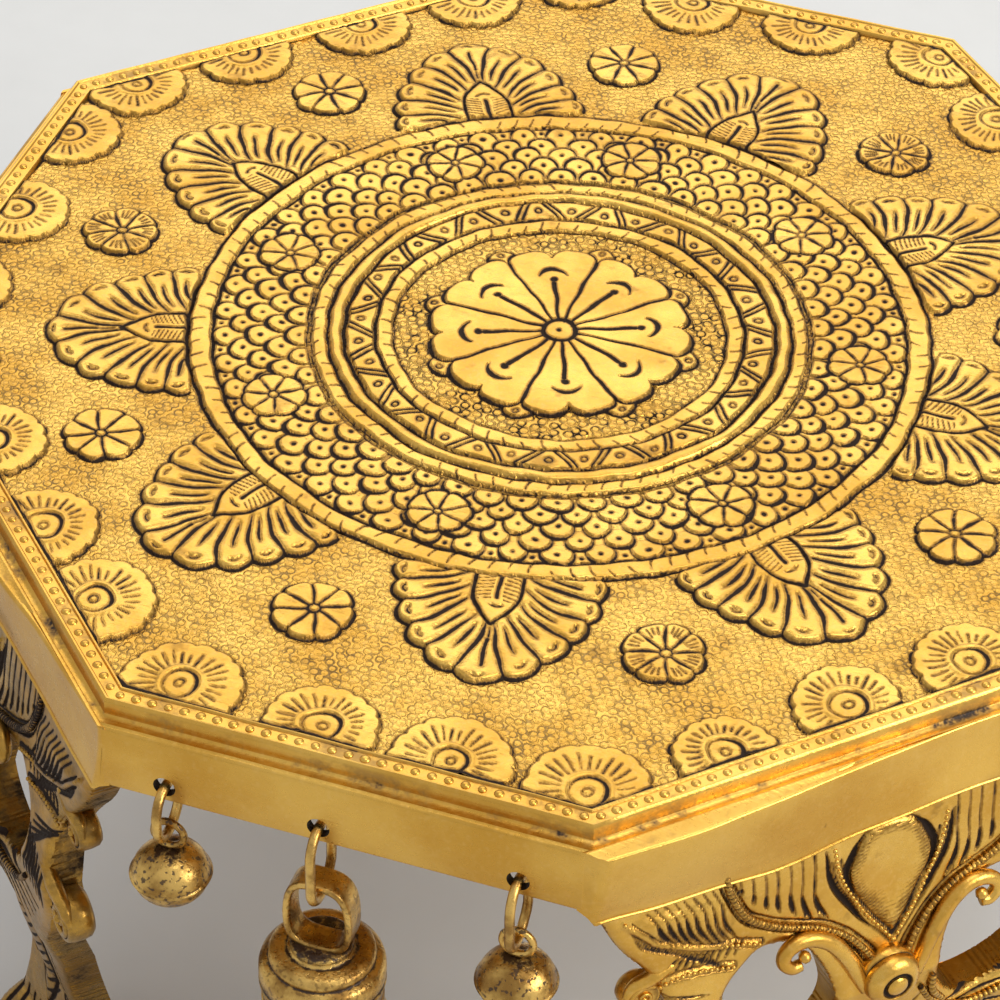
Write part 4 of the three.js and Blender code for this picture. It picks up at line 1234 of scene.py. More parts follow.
def side_panel(name, turn, bow):
    """The skirt's bowed outer face on a leg side, from the ledge's edge down to a beaded seam."""
    share = np.linspace(0, 1, PANEL_COLUMNS)
    x = (2 * share - 1) * PANEL_HALF
    out = along_panel(x, bow, 0.08e-3 * np.sin(170 * x), BOW_SPREAD)
    drop = along_panel(x, PANEL_SEAM, 0.12e-3 * np.sin(240 * x + 1), SEAM_SPREAD)
    foot = leg_swell(drop) + 0.1e-3
    top = np.full_like(x, TOP_Z - RISER)
    seam = LEG_HEIGHT - drop
    level_back = np.zeros_like(x)
    rows = [(level_back + PANEL_BACK, top - 0.9e-3, 0), (level_back - 2.0e-3, top - 0.12e-3, 0.3),
            (level_back - 1.5e-3, top - 0.02e-3, 0), (level_back - 1.15e-3, top - 0.06e-3, 0),
            (0.75 * (out - 1.1e-3) - 0.3e-3, top - 0.55e-3, 0.5), (out - 0.8e-3, top - 0.5e-3, 0),
            (out - 0.3e-3, top - 0.62e-3, 0), (out - 0.05e-3, top - 0.95e-3, 0), (out, top - 1.5e-3, 0)]
    brow = top - 1.5e-3
    for down in (0.15, 0.3, 0.45, 0.6, 0.75, 0.9):
        lean = down * down
        rows.append((out * (1 - lean) + foot * lean, brow - down * (brow - seam - 1.1e-3), 0))
    rows += [(foot, seam + 0.9e-3, 0.1), (foot + 0.04e-3, seam + 0.55e-3, 0.6),
             (foot + 0.34e-3, seam + 0.4e-3, 0), (foot + 0.45e-3, seam + 0.12e-3, 0),
             (foot + 0.3e-3, seam - 0.14e-3, 0),
             (foot - 0.1e-3, seam - 0.3e-3, 0.8), (0.4 * foot - 0.9e-3, 0.5 * (seam + SKIRT_Z), 0),
             (level_back + PANEL_BACK, level_back + SKIRT_Z + 0.1e-3, 0)]
    points, stain = [], []
    for outward, level, mark in rows:
        reach = PANEL_HALF - outward - PANEL_END_GAP
        across = (2 * share - 1) * reach
        points.append(np.stack([across, -(LEG_FLAT + outward), level], axis=-1))
        stain.append(np.full(len(x), mark))
    points = np.stack(points)
    count = len(x)
    faces = grid_faces(len(rows), count)[:, ::-1].tolist()
    last = (len(rows) - 1) * count
    faces += [(i, i + 1, last + i + 1, last + i) for i in range(count - 1)]
    faces.append(tuple(row * count for row in reversed(range(len(rows)))))
    faces.append(tuple(row * count + count - 1 for row in range(len(rows))))
    piece = mesh_from(name, turned(points.reshape(-1, 3), turn), faces, {"stain": np.concatenate(stain)})
    piece.data.set_sharp_from_angle(angle=PANEL_CREASE)
    return piece


def prism(batch, start, end):
    """A bar between two outlines of as many points."""
    count = len(start)
    faces = [tuple(reversed(range(count))), tuple(range(count, 2 * count))]
    faces += [(i, (i + 1) % count, (i + 1) % count + count, i + count) for i in range(count)]
    batch.add([*start, *end], faces)


def lug_pair(name, turn):
    """The two angled lugs on a leg's back, each bored for its screw."""
    outline = np.array(LUG) * MM
    lugs, bores = Batch(), Batch()
    for hand in (-1, 1):
        middle = hand * SCREW_X
        prism(lugs, *([(x, y, z) for y, z in outline] for x in (middle - LUG_HALF, middle + LUG_HALF)))
        bore = [(BORE, SEAT_HEIGHT - 3.4e-3), (BORE, SEAT_HEIGHT + 7.6e-3)]
        lathe(bores, bore, 24, (middle, -SCREW_Y, 0))
    piece = pierce(lugs.piece(name, turn, LUG_AGE), [bores.piece("bore_cutter", turn)])
    edges = piece.modifiers.new("edges", "BEVEL")
    edges.width = 0.4e-3
    edges.segments = 2
    edges.limit_method = "ANGLE"
    return piece


def pads():
    """Round bosses under the tray that the screws go into."""
    batch = Batch()
    low, high = PAD_Z, TOP_Z - PLATE + 0.3e-3
    for i in range(4):
        for hand in (-1, 1):
            pad = Batch()
            profile = [(PAD_RADIUS, high), (PAD_RADIUS, low + 0.7e-3), (PAD_RADIUS - 0.2e-3, low + 0.2e-3),
                       (PAD_RADIUS - 0.7e-3, low), (BORE + 0.5e-3, low), (BORE + 0.1e-3, low + 0.3e-3),
                       (BORE, low + 0.7e-3), (BORE, high)]
            lathe(pad, profile, 32, (hand * SCREW_X, -SCREW_Y, 0), capped=False)
            batch.add(turned(pad.points[0], EIGHTH + i * QUARTER), pad.faces)
    return batch.piece("tray_pads")


def screw(name, hand, turn):
    """Pan head with a slot, and a threaded shank."""
    batch, slot = Batch(), Batch()
    low = SEAT_HEIGHT - SCREW_HEAD_HEIGHT
    base = low * PER_METRE
    profile = [(radius, base + up) for radius, up in SCREW_HEAD]
    profile += [(THREAD_CREST if i % 2 else THREAD_ROOT, base + 4.4 + THREAD_STEP * i) for i in range(22)]
    place = np.array([hand * SCREW_X, -SCREW_Y])
    lathe(batch, np.array(profile + [SCREW_END]) * MM, 28, (*place, 0))
    lean = 0.5 + 1.1 * chance(turn, hand, 1)
    ahead = np.array([math.cos(lean), math.sin(lean)]) * SCREW_SLOT_HALF
    side = np.array([-math.sin(lean), math.cos(lean)]) * SCREW_SLOT_WIDTH / 2
    corners = [place - ahead - side, place + ahead - side, place + ahead + side, place - ahead + side]
    prism(slot, *([(x, y, z) for x, y in corners] for z in (low - 1e-3, low + SCREW_SLOT_DEPTH)))
    return pierce(batch.piece(name, turn), [slot.piece("slot_cutter", turn)])


# Legs, drawn on the side that faces -Y as x across and depth below the skirt

LEG_GAP = 0.3e-3
LEG_CLEARANCE = 2.2e-3
LEG_HEIGHT = SKIRT_Z - LEG_GAP
LEG_HALF = BELL_FLAT * math.sqrt(2) - LEG_FLAT - LEG_CLEARANCE
LEG_THICKNESS = 8e-3
LEG_STEP = 0.45e-3
LEG_BACK_STEP = 2.0e-3
LEG_WALL_RINGS = 5
# Walls and back of each casting are darkened more than its face: age, and painted shade on these shaded
# sides
LEG_WALL_AGE_AND_SHADE = 0.35
LEG_BACK_AGE_AND_SHADE = 0.25
LEG_BACK_LIFT = 0.02e-3
SWELL = ((0, 0), (0.12, 0.35), (0.26, 1.1), (0.42, 0.85), (0.6, -0.3), (0.78, -1.1), (0.9, -0.75),
         (0.96, 0.1), (1, 0.2))
LEG_DEPTHS = (1, 1.05, 1.15, 1.15, 1.1, 1.15, 1.5, 2.1, 2)

# Right half of the leg's outline and its opening, in millimetres
LEG_SIDE = ((67, -6), (66.8, 2), (64.6, 9), (61.4, 14.6), (57, 20.5), (54, 26), (52.6, 34), (54.5, 44),
            (54, 52), (49.6, 61.5), (42.5, 74), (32, 92), (24, 106), (17.6, 122), (15.3, 136),
            (17.4, 149), (21, 158), (21.2, 165), (19.5, 176))
LEG_OPENING = ((21, 27), (29.5, 24.8), (34.5, 27.5), (39, 32), (40.3, 38), (38.6, 45), (35, 51),
               (27.5, 55.5), (18.5, 56.5), (13.4, 50.5), (13, 43), (15.5, 35))
LEAF_X = 0.9
LEAF = ((0, 2.6), (4.2, 3.1), (7.0, 5.0), (9.2, 8.6), (10.2, 12.8), (8.7, 17.9), (5.2, 23.6), (1.7, 29),
        (0, 31.4))
INNER_CRESCENT = ((5.8, 3.8), (8.6, 6.6), (10.6, 11.4), (9.9, 16), (8.0, 20))
OUTER_CRESCENT = ((15.4, 5), (14.9, 11), (12.4, 17.4), (9.2, 22.8), (5.8, 27))
UPPER_TAIL = ((0, 52), (5, 55), (8.2, 61), (9, 68), (7.4, 77), (4, 86), (0, 94))
LOWER_TAIL = ((0, 97), (4.6, 103), (6.4, 112), (5.2, 124), (2.8, 136), (0, 143))
PEARLS = ((13.6, 5), (12.6, 11), (10.3, 17), (6.6, 24), (2.9, 29), (0.2, 32.8))
ROPE = ((38.3, 1.2), (37.4, 7), (34.0, 14), (29.9, 17.7), (25.0, 20.6), (17.1, 23.6), (10.8, 27.6),
        (6.4, 32.5), (3.4, 37.5))
UPPER_BEADS = ((62, 5.2), (59.7, 7.9), (57, 10.9), (54.2, 13.6), (47.3, 16.9), (41.5, 19.3), (35.6, 20.8),
               (31, 22.4))
LOWER_BEADS = ((54.6, 24.3), (51.5, 23.8), (47.6, 23.7), (41.8, 24.6), (37.4, 25.7))
ARM = ((6.0, 43), (7.8, 39), (10.2, 33.8), (13.8, 28.2), (17.9, 25.0), (21.8, 24.2), (25.2, 25.4),
       (26.2, 27.8), (24.4, 30.0), (22.2, 30.0))
ARM_PEARL = (21.7, 27.2)
LONG_SWAG = ((8, 49), (11.6, 55), (18, 59.6), (27, 60), (36, 56.5), (42, 50))
SHORT_SWAG = ((10.6, 46), (11, 51), (14.5, 56.2))
RING_MARKS = ((15, 97), (14.2, 102), (13.2, 107), (12.2, 112), (11.4, 117), (10.6, 122), (10, 127),
              (10, 132), (24, 88), (22, 93), (19.6, 98), (32.5, 79), (30, 84))
BOSS = (-0.9, 40.6)
# Boss from its foot to its middle: radius, height and the distance to a dark line
BOSS_TURNING = ((6.9, -2.5, 9), (6.9, 0.2, 9), (6.6, 0.7, 0.4), (6.4, 1.1, -0.1), (6.6, 1.6, 0.6),
                (6.4, 2.8, 2), (5.8, 3.8, 2), (4.9, 4.5, 2), (3.9, 4.9, 0.5), (3.5, 4.7, 0.05),
                (3.2, 4.2, -0.3), (2.8, 4.2, -0.3), (2.5, 4.7, 0.1), (2.1, 5.2, 1), (1.4, 5.5, 2),
                (0.7, 5.6, 2))
# Rows of strokes: how many, the first one's points, how far each point moves from one stroke to the next
# (both in millimetres), half width, depth and taper
CAPITAL_ROWS = (
    (8, ((56.8, 4.6), (55.0, 7.3)), ((-2.2, 0), (-2.2, 0.22)), 0.1e-3, 0.2e-3, 0.5),
    (12, ((59.6, 10.4), (57.6, 13.6), (54.0, 15.8)), ((-1.5, 0.95),) * 3, 0.24e-3, 0.4e-3, 0.8),
    (9, ((53.0, 23.0), (51.8, 20.8), (49.8, 19.4)), ((-2.0, 0.05),) * 3, 0.2e-3, 0.35e-3, 0.85),
    (5, ((55.2, 27.5), (50, 29), (43.5, 30.5)), ((-1.2, 1), (-1, 1.6), (0, 2)), 0.22e-3, 0.3e-3, 1),
)
TAIL_ROWS = (
    (9, ((0.8, 59), (3.6, 57.2), (8.4, 51.5)), ((0, 3.6),) * 3, 0.3e-3, 0.4e-3, 1),
    (7, ((40.5, 33), (43, 40), (41.5, 48)), ((1.9, 1.2), (1.5, 1), (1.7, 0.5)), 0.4e-3, 0.5e-3, 0.9),
    (10, ((0, 104.4), (2.4, 103), (5.6, 99.6)), ((0, 3.7),) * 3, 0.26e-3, 0.35e-3, 1),
    (5, ((1.2, 146), (1.6, 157), (1.4, 167)), ((3.7, 0.8), (4, 0), (4.1, 0)), 0.5e-3, 0.7e-3, 0.6),
)

# Flutes beside the leaf: place across, lower end, length of the drop there and how far it sways
FLUTES = ((34.8, 8.4, 1.6, 0.2), (31.9, 12.0, 2.6, 0.3), (29.0, 14.9, 4.0, 0.4), (26.1, 16.7, 5.2, 0.6),
          (23.1, 18.7, 6.3, 1.0), (20.2, 21.2, 7.6, 2.0), (17.3, 22.6, 7.8, 2.9))

# Rolled ends: place on the left and the right hand, size, turns, lift and depth
ROLLED_ENDS = ((((57.6, 27.9), (57.8, 24.6)), 4.6, 1.3, -2.0, 5.5),
               (((59.2, 47.8), (59.2, 47.8)), 6.3, 1.6, -1.6, 6.5))

# A rolled end's stem, in shares of its size from its middle
STEM = ((-2.3, -1.5), (-1.3, -1.35), (-0.3, -0.98), (0.45, -0.72), (0.8, -0.2))
STEM_LIFT = (-1.6, -1.4, -1.6, -2.2, -2.6)
STEM_RADII = (0.5, 1.5, 1.9, 1.7, 0.9)

# A rolled end's barrel: shares of its radius and depth, and the distance to a dark line
BARREL = ((0.5, -1, 9), (0.8, -1, 9), (0.95, -0.85, 9), (1.0, -0.55, 9), (0.99, -0.25, 9), (0.94, -0.06, 9),
          (0.86, 0.02, 9), (0.78, 0, 0.1), (0.5, -0.03, 0.5), (0.1, -0.03, 0.5))

# Rows of beads: line, radius, pitch, lift and shift across
BEAD_ROWS = ((PEARLS, 0.62, 1.5, 0.2, LEAF_X), (UPPER_BEADS, 0.58, 1.35, 0.4, 0),
             (LOWER_BEADS, 0.55, 1.3, 0.35, 0))


def leg_swell(depth):
    share = np.clip(np.asarray(depth, float) / LEG_HEIGHT, 0, 1)
    places, amounts = np.array(SWELL).T
    return np.interp(share, places, amounts) * LEG_THICKNESS


def leg_back(depth):
    share = np.clip(np.asarray(depth, float) / LEG_HEIGHT, 0, 1)
    places, _ = np.array(SWELL).T
    return leg_swell(depth) - np.interp(share, places, LEG_DEPTHS) * LEG_THICKNESS


def on_leg(x, depth, lift):
    """Points of a leg's face, lifted outwards."""
    x, depth, lift = np.broadcast_arrays(np.asarray(x, float), depth, lift)
    return np.stack([x, -(LEG_FLAT + leg_swell(depth) + lift), LEG_HEIGHT - depth], axis=-1)


def leg_inside(x, d):
    inside = inside_halves(x, d, curve(LEG_SIDE, 5) * MM)
    hole = inside_outline(np.abs(x), d, curve(LEG_OPENING, 5, closed=True) * MM)
    return np.minimum(inside, -hole)


def leg_relief(x, d, inside):
    """Chased ornament of a leg's face."""
    ax = np.abs(x)
    wx = ax + 0.15e-3 * np.sin(520 * d + 3 * np.sign(x)) + 0.1e-3 * np.sin(900 * ax)
    wd = d + 0.15e-3 * np.sin(480 * x + 1.7)
    relief = Relief(x, d)
    edge = np.clip(inside / 2.6e-3, 0, 1)
    relief.base = -1.9e-3 * (1 - np.sqrt(np.clip(1 - (1 - edge) ** 2, 0, 1))) * smooth(0, 4e-3, d)
    relief.plain = np.ones_like(x)
    capital(relief, wx, wd)
    flutes(relief, wx, wd)
    leaf_plate(relief, np.abs(wx * np.where(x < 0, -1, 1) - LEAF_X * MM), wd)
    lower_leaves(relief, wx, wd)
    return relief


def stroke_rows(relief, ax, d, rows):
    """Strokes that repeat along a row, each point moving by its own step."""
    for count, first, steps, half_width, depth, taper in rows:
        for i in range(count):
            points = [(x + i * across, y + i * down) for (x, y), (across, down) in zip(first, steps)]
            stroke(relief, ax, d, points, half_width, depth, taper)


def capital(relief, ax, d):
    """The leg's top: feathers and strokes between two rows of beads, over a slight belly."""
    line = drawn(UPPER_BEADS)
    above = d - np.interp(ax, line[::-1, 0], line[::-1, 1])
    outer = smooth(37e-3, 41e-3, ax)
    belly = np.clip(1 - ((above + 5.5e-3) / 7e-3) ** 2, 0, 1) * outer
    relief.swell(1.2e-3 * belly * smooth(4.5e-3, 8e-3, d))
    for i in range(8):
        top, low = (55.0 - 2.2 * i, 7.3 + 0.22 * i), (50.6 - 2.1 * i, 15.1 + 0.68 * i)
        middle = (0.5 * (top[0] + low[0]) + 0.9, 0.5 * (top[1] + low[1]) - 0.3)
        stroke(relief, ax, d, [top, middle, low], (0.46 - 0.02 * i) * MM, 0.7e-3, 0.9)
    stroke_rows(relief, ax, d, CAPITAL_ROWS)
    for row, lift in ((line, 0.5e-3), (drawn(LOWER_BEADS), 0.4e-3)):
        away, _, _ = from_line(ax, d, row)
        relief.swell(lift * (1 - smooth(0.3e-3, 0.9e-3, away)))
        relief.engrave(np.abs(away - 0.95e-3) + np.where(ax < row[0, 0] - 1.5e-3, 0, FAR), 0.16e-3)


def flutes(relief, ax, d):
    """Fine lines down from the seam, each with a drop at its lower end."""
    for place, low, drop, sway in FLUTES:
        points = [(place, 1), (place, 0.6 * low), (place - 0.3 * sway, low - 1)]
        stroke(relief, ax, d, points, 0.13e-3, 0.25e-3, 0.4)
        points = [(place, low - drop), (place - 0.3 * sway, low - 0.45 * drop), (place - sway, low)]
        stroke(relief, ax, d, points, (0.34 + 0.02 * drop) * MM, 0.6e-3, 0.85)
    away, _, _ = from_line(ax, d, drawn(ROPE))
    relief.swell(-0.4e-3 * (1 - smooth(1.0e-3, 2.2e-3, away)))
    relief.engrave(np.abs(away - 1.35e-3), 0.22e-3, 0.4e-3)


def leaf_plate(relief, ax, d):
    """A dished drop-shaped leaf between short dark crescents, two rows of pearls beside it."""
    inside = inside_halves(ax, d, drawn(LEAF))
    dish = -0.9e-3 * np.exp(-((ax / 5e-3) ** 2) - ((d - 15e-3) / 9e-3) ** 2)
    relief.swell(np.where(inside > 0, dish + 0.7e-3 * np.clip(inside / 1e-3, 0, 1), 0))
    relief.engrave(np.abs(inside + 0.3e-3), 0.22e-3, 0.5e-3)
    stroke(relief, ax, d, INNER_CRESCENT, 0.85e-3, 0.9e-3, 0.9)
    focus = np.arctan2(ax, 36e-3 - d)
    reach = np.hypot(ax, 36e-3 - d)
    lines = np.abs(np.mod(reach / 0.8e-3 + 2.5 * focus ** 2, 1) - 0.5) * 0.8e-3
    hatched = (inside > 0.4e-3) & (inside < 2.6e-3 + 0.1 * d)
    hatch = np.where(hatched, lines + 0.3e-3 * smooth(1e-3, 4e-3, inside), FAR)
    relief.engrave(hatch, 0.02e-3, 0.08e-3)
    away, _, _ = from_line(ax, d, drawn(PEARLS))
    relief.swell(0.3e-3 * (1 - smooth(0.7e-3, 1.3e-3, away)))
    relief.engrave(np.abs(away - 1.0e-3) + np.where(d > 8e-3, 0, FAR), 0.14e-3, 0.3e-3)
    stroke(relief, ax, d, OUTER_CRESCENT, 0.68e-3, 0.9e-3, 0.88)


def lower_leaves(relief, ax, d):
    """Leaf below the boss, feathers out to the curls and a tail down to the foot."""
    inside = inside_halves(ax, d, drawn(UPPER_TAIL))
    relief.swell(np.where(inside > 0, 1.5e-3 * np.sqrt(np.clip(inside / 5e-3, 0, 1)), 0))
    relief.engrave(np.abs(inside + 0.4e-3), 0.5e-3, 0.7e-3)
    relief.engrave(np.where(inside > 1e-3, ax, FAR), 0.4e-3, 0.5e-3)
    for i in range(10):
        share = i / 9
        foot = (9.5 + 7.5 * share, 60 + 6 * i * 0.2)
        tip = (47.5 - 27 * share, 55.5 + 36 * share)
        middle = (0.5 * (foot[0] + tip[0]) + 2, 0.5 * (foot[1] + tip[1]) - 3.2 + 4 * share)
        stroke(relief, ax, d, [foot, middle, tip], 0.48e-3, 0.6e-3, 0.85)
    inside = inside_halves(ax, d, drawn(LOWER_TAIL))
    relief.swell(np.where(inside > 0, 1.2e-3 * np.sqrt(np.clip(inside / 4e-3, 0, 1)), 0))
    relief.engrave(np.abs(inside + 0.35e-3), 0.42e-3, 0.6e-3)
    for x0, d0 in RING_MARKS:
        relief.engrave(np.abs(np.hypot(ax - x0 * MM, d - d0 * MM) - 1.0e-3), 0.3e-3, 0.35e-3)
    stroke_rows(relief, ax, d, TAIL_ROWS)


def leg_face(step):
    """Points, faces and values of one leg's sheet, with a border that follows its outline."""
    columns = int(2 * LEG_HALF / step) + 1
    rows = int(LEG_HEIGHT / step) + 1
    x, d = np.meshgrid(np.linspace(-LEG_HALF, LEG_HALF, columns), np.linspace(0, LEG_HEIGHT, rows))
    inside = leg_inside(x, d)
    slope_d, slope_x = np.gradient(inside, d[1, 0] - d[0, 0], x[0, 1] - x[0, 0])
    steep = np.maximum(np.hypot(slope_x, slope_d), 0.3)
    close = inside < 0.5 * step
    x = np.where(close, x - inside * slope_x / steep ** 2, x)
    free = close & (d > 0) & (d < LEG_HEIGHT)
    d = np.where(free, np.clip(d - inside * slope_d / steep ** 2, 0, LEG_HEIGHT), d)
    relief = leg_relief(x, d, np.maximum(inside, 0))
    faces = grid_faces(rows, columns)
    faces = faces[(inside.ravel()[faces] > -0.5 * step).all(axis=1)]
    kept, faces = np.unique(faces, return_inverse=True)
    faces = faces.reshape(-1, 4)[:, ::-1]
    points = on_leg(x, d, relief.base - relief.cut).reshape(-1, 3)[kept]
    return points, faces, relief.ink.ravel()[kept] * PER_METRE, d.ravel()[kept]


def outline_edges(faces):
    """Edges that belong to one face only, in their faces' direction."""
    starts, ends = faces.ravel(), np.roll(faces, -1, axis=1).ravel()
    key = starts.astype(np.int64) * (faces.max() + 1) + ends
    back = ends.astype(np.int64) * (faces.max() + 1) + starts
    lone = ~np.isin(key, back)
    return starts[lone], ends[lone]


def leg_body(batch):
    """The chased face, the walls round its outline and openings, and a plain back."""
    points, faces, ink, depth = leg_face(LEG_STEP)
    batch.add(points, faces.tolist(), ink)
    starts, ends = outline_edges(faces)
    used, index = np.unique(np.concatenate([starts, ends]), return_inverse=True)
    front = points[used]
    rings = []
    for level in range(LEG_WALL_RINGS):
        share = level / (LEG_WALL_RINGS - 1)
        ring = front.copy()
        rear_y = -(LEG_FLAT + leg_back(depth[used]))
        ring[:, 1] += share * (rear_y - front[:, 1])
        rings.append(ring)
    count = len(used)
    index = index.reshape(2, -1)
    wall = []
    for level in range(LEG_WALL_RINGS - 1):
        low, high = level * count, (level + 1) * count
        wall += [(b + low, a + low, a + high, b + high) for a, b in zip(index[0], index[1])]
    batch.add(np.vstack(rings), wall, None, LEG_WALL_AGE_AND_SHADE)
    points, faces, _, depth = leg_face(LEG_BACK_STEP)
    points[:, 1] = -(LEG_FLAT + leg_back(depth)) - LEG_BACK_LIFT
    batch.add(points, faces[:, ::-1].tolist(), None, LEG_BACK_AGE_AND_SHADE)


def face_tube(batch, points, lift, radii, hand=1, **settings):
    """A raised bar on a leg's face along points in millimetres."""
    line = even(curve(points, 6), 0.42)
    radii = np.interp(np.linspace(0, 1, len(line)), np.linspace(0, 1, len(radii)), radii) * MM
    lifts = np.interp(np.linspace(0, 1, len(line)), np.linspace(0, 1, len(lift)), lift) * MM
    tube(batch, on_leg(hand * line[:, 0] * MM, line[:, 1] * MM, lifts), radii, **settings)


def scroll_horn(batch, place, radius, turns, hand, lift, depth):
    """A rolled end: a smooth barrel with a raised spiral and a pearl on its face."""
    centre = on_leg(hand * place[0] * MM, place[1] * MM, lift * MM)
    profile = np.array([(share * radius, back * depth) for share, back, _ in BARREL]) * MM
    lathe(batch, profile, 40, centre, "-y", [ink for _, _, ink in BARREL])
    angle = np.linspace(0, turns * FULL, int(turns * 30))
    shrink = 1 - 0.8 * angle / angle[-1]
    away = 0.82 * radius * shrink
    x = hand * (place[0] + away * np.cos(angle - 2.4)) * MM
    d = (place[1] + away * np.sin(angle - 2.4)) * MM
    front = on_leg(hand * place[0] * MM, place[1] * MM, 0)[1] - lift * MM
    line = np.stack([x, np.full_like(x, front), LEG_HEIGHT - d], axis=-1)
    tube(batch, line, 0.14 * radius * (0.5 + 0.5 * shrink) * MM, 10)
    bead(batch, centre - np.array([0, 0.2e-3, 0]), 0.2 * radius * MM)


def leg_boss(batch):
    centre = on_leg(BOSS[0] * MM, BOSS[1] * MM, 0)
    turning = np.array(BOSS_TURNING)
    lathe(batch, turning[:, :2] * MM, 48, centre, "-y", turning[:, 2])


def leg_ornament(batch):
    for hand in (-1, 1):
        face_tube(batch, ROPE, (-0.1, 0.2, 0.3, 0.6), (0.85, 1.0, 0.95, 0.85), hand,
                  sides=10, rib=1.15e-3, rib_depth=0.2e-3, lean=0.8)
        face_tube(batch, ARM, (-0.6, 0.4, 1.3, 1.5, 1.5, 1.3), (1.9, 2.0, 2.0, 1.9, 1.7, 1.4), hand,
                  sides=16)
        bead(batch, on_leg(hand * ARM_PEARL[0] * MM, ARM_PEARL[1] * MM, 2.6e-3), 1.5e-3)
        for row, size, pitch, lift, shift in BEAD_ROWS:
            for x, d in even(curve(row, 6), pitch):
                bead(batch, on_leg((hand * x + shift) * MM, d * MM, lift * MM), size * MM)
        for swag in (LONG_SWAG, SHORT_SWAG):
            face_tube(batch, swag, (0.2, 0.6, 0.2), (0.9, 1.0, 0.8), hand,
                      sides=8, rib=1.3e-3, rib_depth=0.3e-3)
        for places, size, turns, lift, depth in ROLLED_ENDS:
            place = places[hand > 0]
            scroll_horn(batch, place, size, turns, hand, lift, depth)
            stem = [(place[0] + across * size, place[1] + down * size) for across, down in STEM]
            face_tube(batch, stem, STEM_LIFT, STEM_RADII, hand, sides=12)
    leg_boss(batch)


# Pendants, modelled on the front side

LINK_TOP_Z = 172.33e-3
SKIRT_MIDDLE = BELL_FLAT - SKIRT_WALL / 2
PENDANTS = tuple(zip("abc", PENDANT_PLACES, (13.5e-3, 20e-3, 18e-3)))
WIRE = 1.1e-3
LINK_BEND = 6.1e-3
GHUNGROO_DROP = 12.1e-3
GHUNGROO_RADIUS = 8.45e-3
GHUNGROO_RISE = 7.0e-3
GHUNGROO_RIDGE = 0.5e-3
GHUNGROO_HOLLOW = (7.6e-3, 6.2e-3)
MOUTH_REACH = 4.6e-3
MOUTH_ROUND = 1.7e-3
MOUTH_HALF_WIDTH = 0.95e-3
MOUTH_SPAN = (-9e-3, -2.5e-3)
EYE_BEND = 3.4e-3
EYE_WIRE = 0.85e-3
EYE_DROP = 0.75e-3
BELL_DROP = 14e-3
# The large bell's turning in millimetres, from its top over the mouth and up inside, and its dark lines
BELL_CROWN = ((1.0, 0.1), (6.4, 0.05), (6.75, -0.2), (6.85, -0.9), (6.9, -1.6), (7.6, -1.75), (9.8, -2.0),
              (11.0, -2.5), (11.5, -3.2), (11.55, -4.0), (11.4, -4.5), (11.7, -4.75), (12.6, -5.1),
              (13.3, -5.8), (13.65, -7.0), (13.7, -8.6), (13.65, -9.8), (13.4, -10.2), (13.4, -10.5),
              (13.68, -10.8), (13.7, -11.4), (13.45, -11.8))
BELL_WAIST = ((13.2, -12.4), (13.05, -13.6), (12.85, -15.6), (12.9, -16.2), (13.2, -16.45), (13.25, -17.0),
              (12.95, -17.3), (13.0, -19), (13.5, -21.6), (14.3, -24.6), (15.2, -27.4), (16.1, -29.8),
              (16.3, -30.1), (16.75, -30.4), (16.8, -30.9), (16.75, -31.3), (17.6, -33.6), (18.6, -35.9),
              (19.3, -37.1), (19.8, -37.7), (20, -38.3), (20, -39.2), (19.6, -39.5), (18.6, -39.4))
BELL_HOLLOW = ((17.8, -38.4), (15.6, -31), (13.6, -25), (11.6, -18), (11.2, -13), (10.9, -9.4),
               (9.2, -6.0), (5.6, -4.6), (1.0, -4.2))
BELL_LINES = ((7.6, -1.75), (11.4, -4.5), (13.4, -10.2), (13.4, -10.5), (12.85, -15.6), (12.95, -17.3),
              (16.1, -29.8), (16.75, -31.3))
BELL_TOP_INK = (-0.2, -0.15, 0.0, 0.1)
STRAP_HALF = 7.0e-3
STRAP_RISE = 9.1e-3
STRAP_MIDDLE = 9.0e-3
STRAP_THICKNESS = 1.6e-3
STRAP_WIDTH = 6.6e-3
STRAP_SQUARENESS = 3.2
PIN_RADIUS = 0.85e-3
PIN_HALF = 12.4e-3
PIN_DROP = 10.5e-3
CLAPPER_EYE = 1.9e-3
CLAPPER_WIRE = 0.7e-3
CLAPPER_BALL = 3.4
CLAPPER_LENGTH = 22
PELLET_RADIUS = 2.2e-3
PELLET_DROP = 16e-3


def wire_ring(bend, straight, steps):
    """A closed oval in the plane of two axes, as pairs of numbers."""
    turn = np.arange(steps) * FULL / steps
    up = bend * np.sin(turn) + np.sign(np.sin(turn) + 1e-9) * straight / 2
    return np.stack([bend * np.cos(turn), up], axis=-1)


def round_section(radius, sides):
    angle = np.arange(sides) * FULL / sides
    return np.stack([radius * np.cos(angle), radius * np.sin(angle)], axis=-1)


def strap_section(thickness, width):
    """A flat bar with eased edges, as (outward, sideways) pairs."""
    t, w = thickness / 2, width / 2
    quarter = [(t, 0), (t, 0.55 * w), (0.96 * t, 0.86 * w), (0.7 * t, 0.97 * w), (0, w)]
    half = quarter + [(-out, side) for out, side in quarter[-2:0:-1]]
    return np.array(half + [(-t, 0)] + [(out, -side) for out, side in half[:0:-1]])


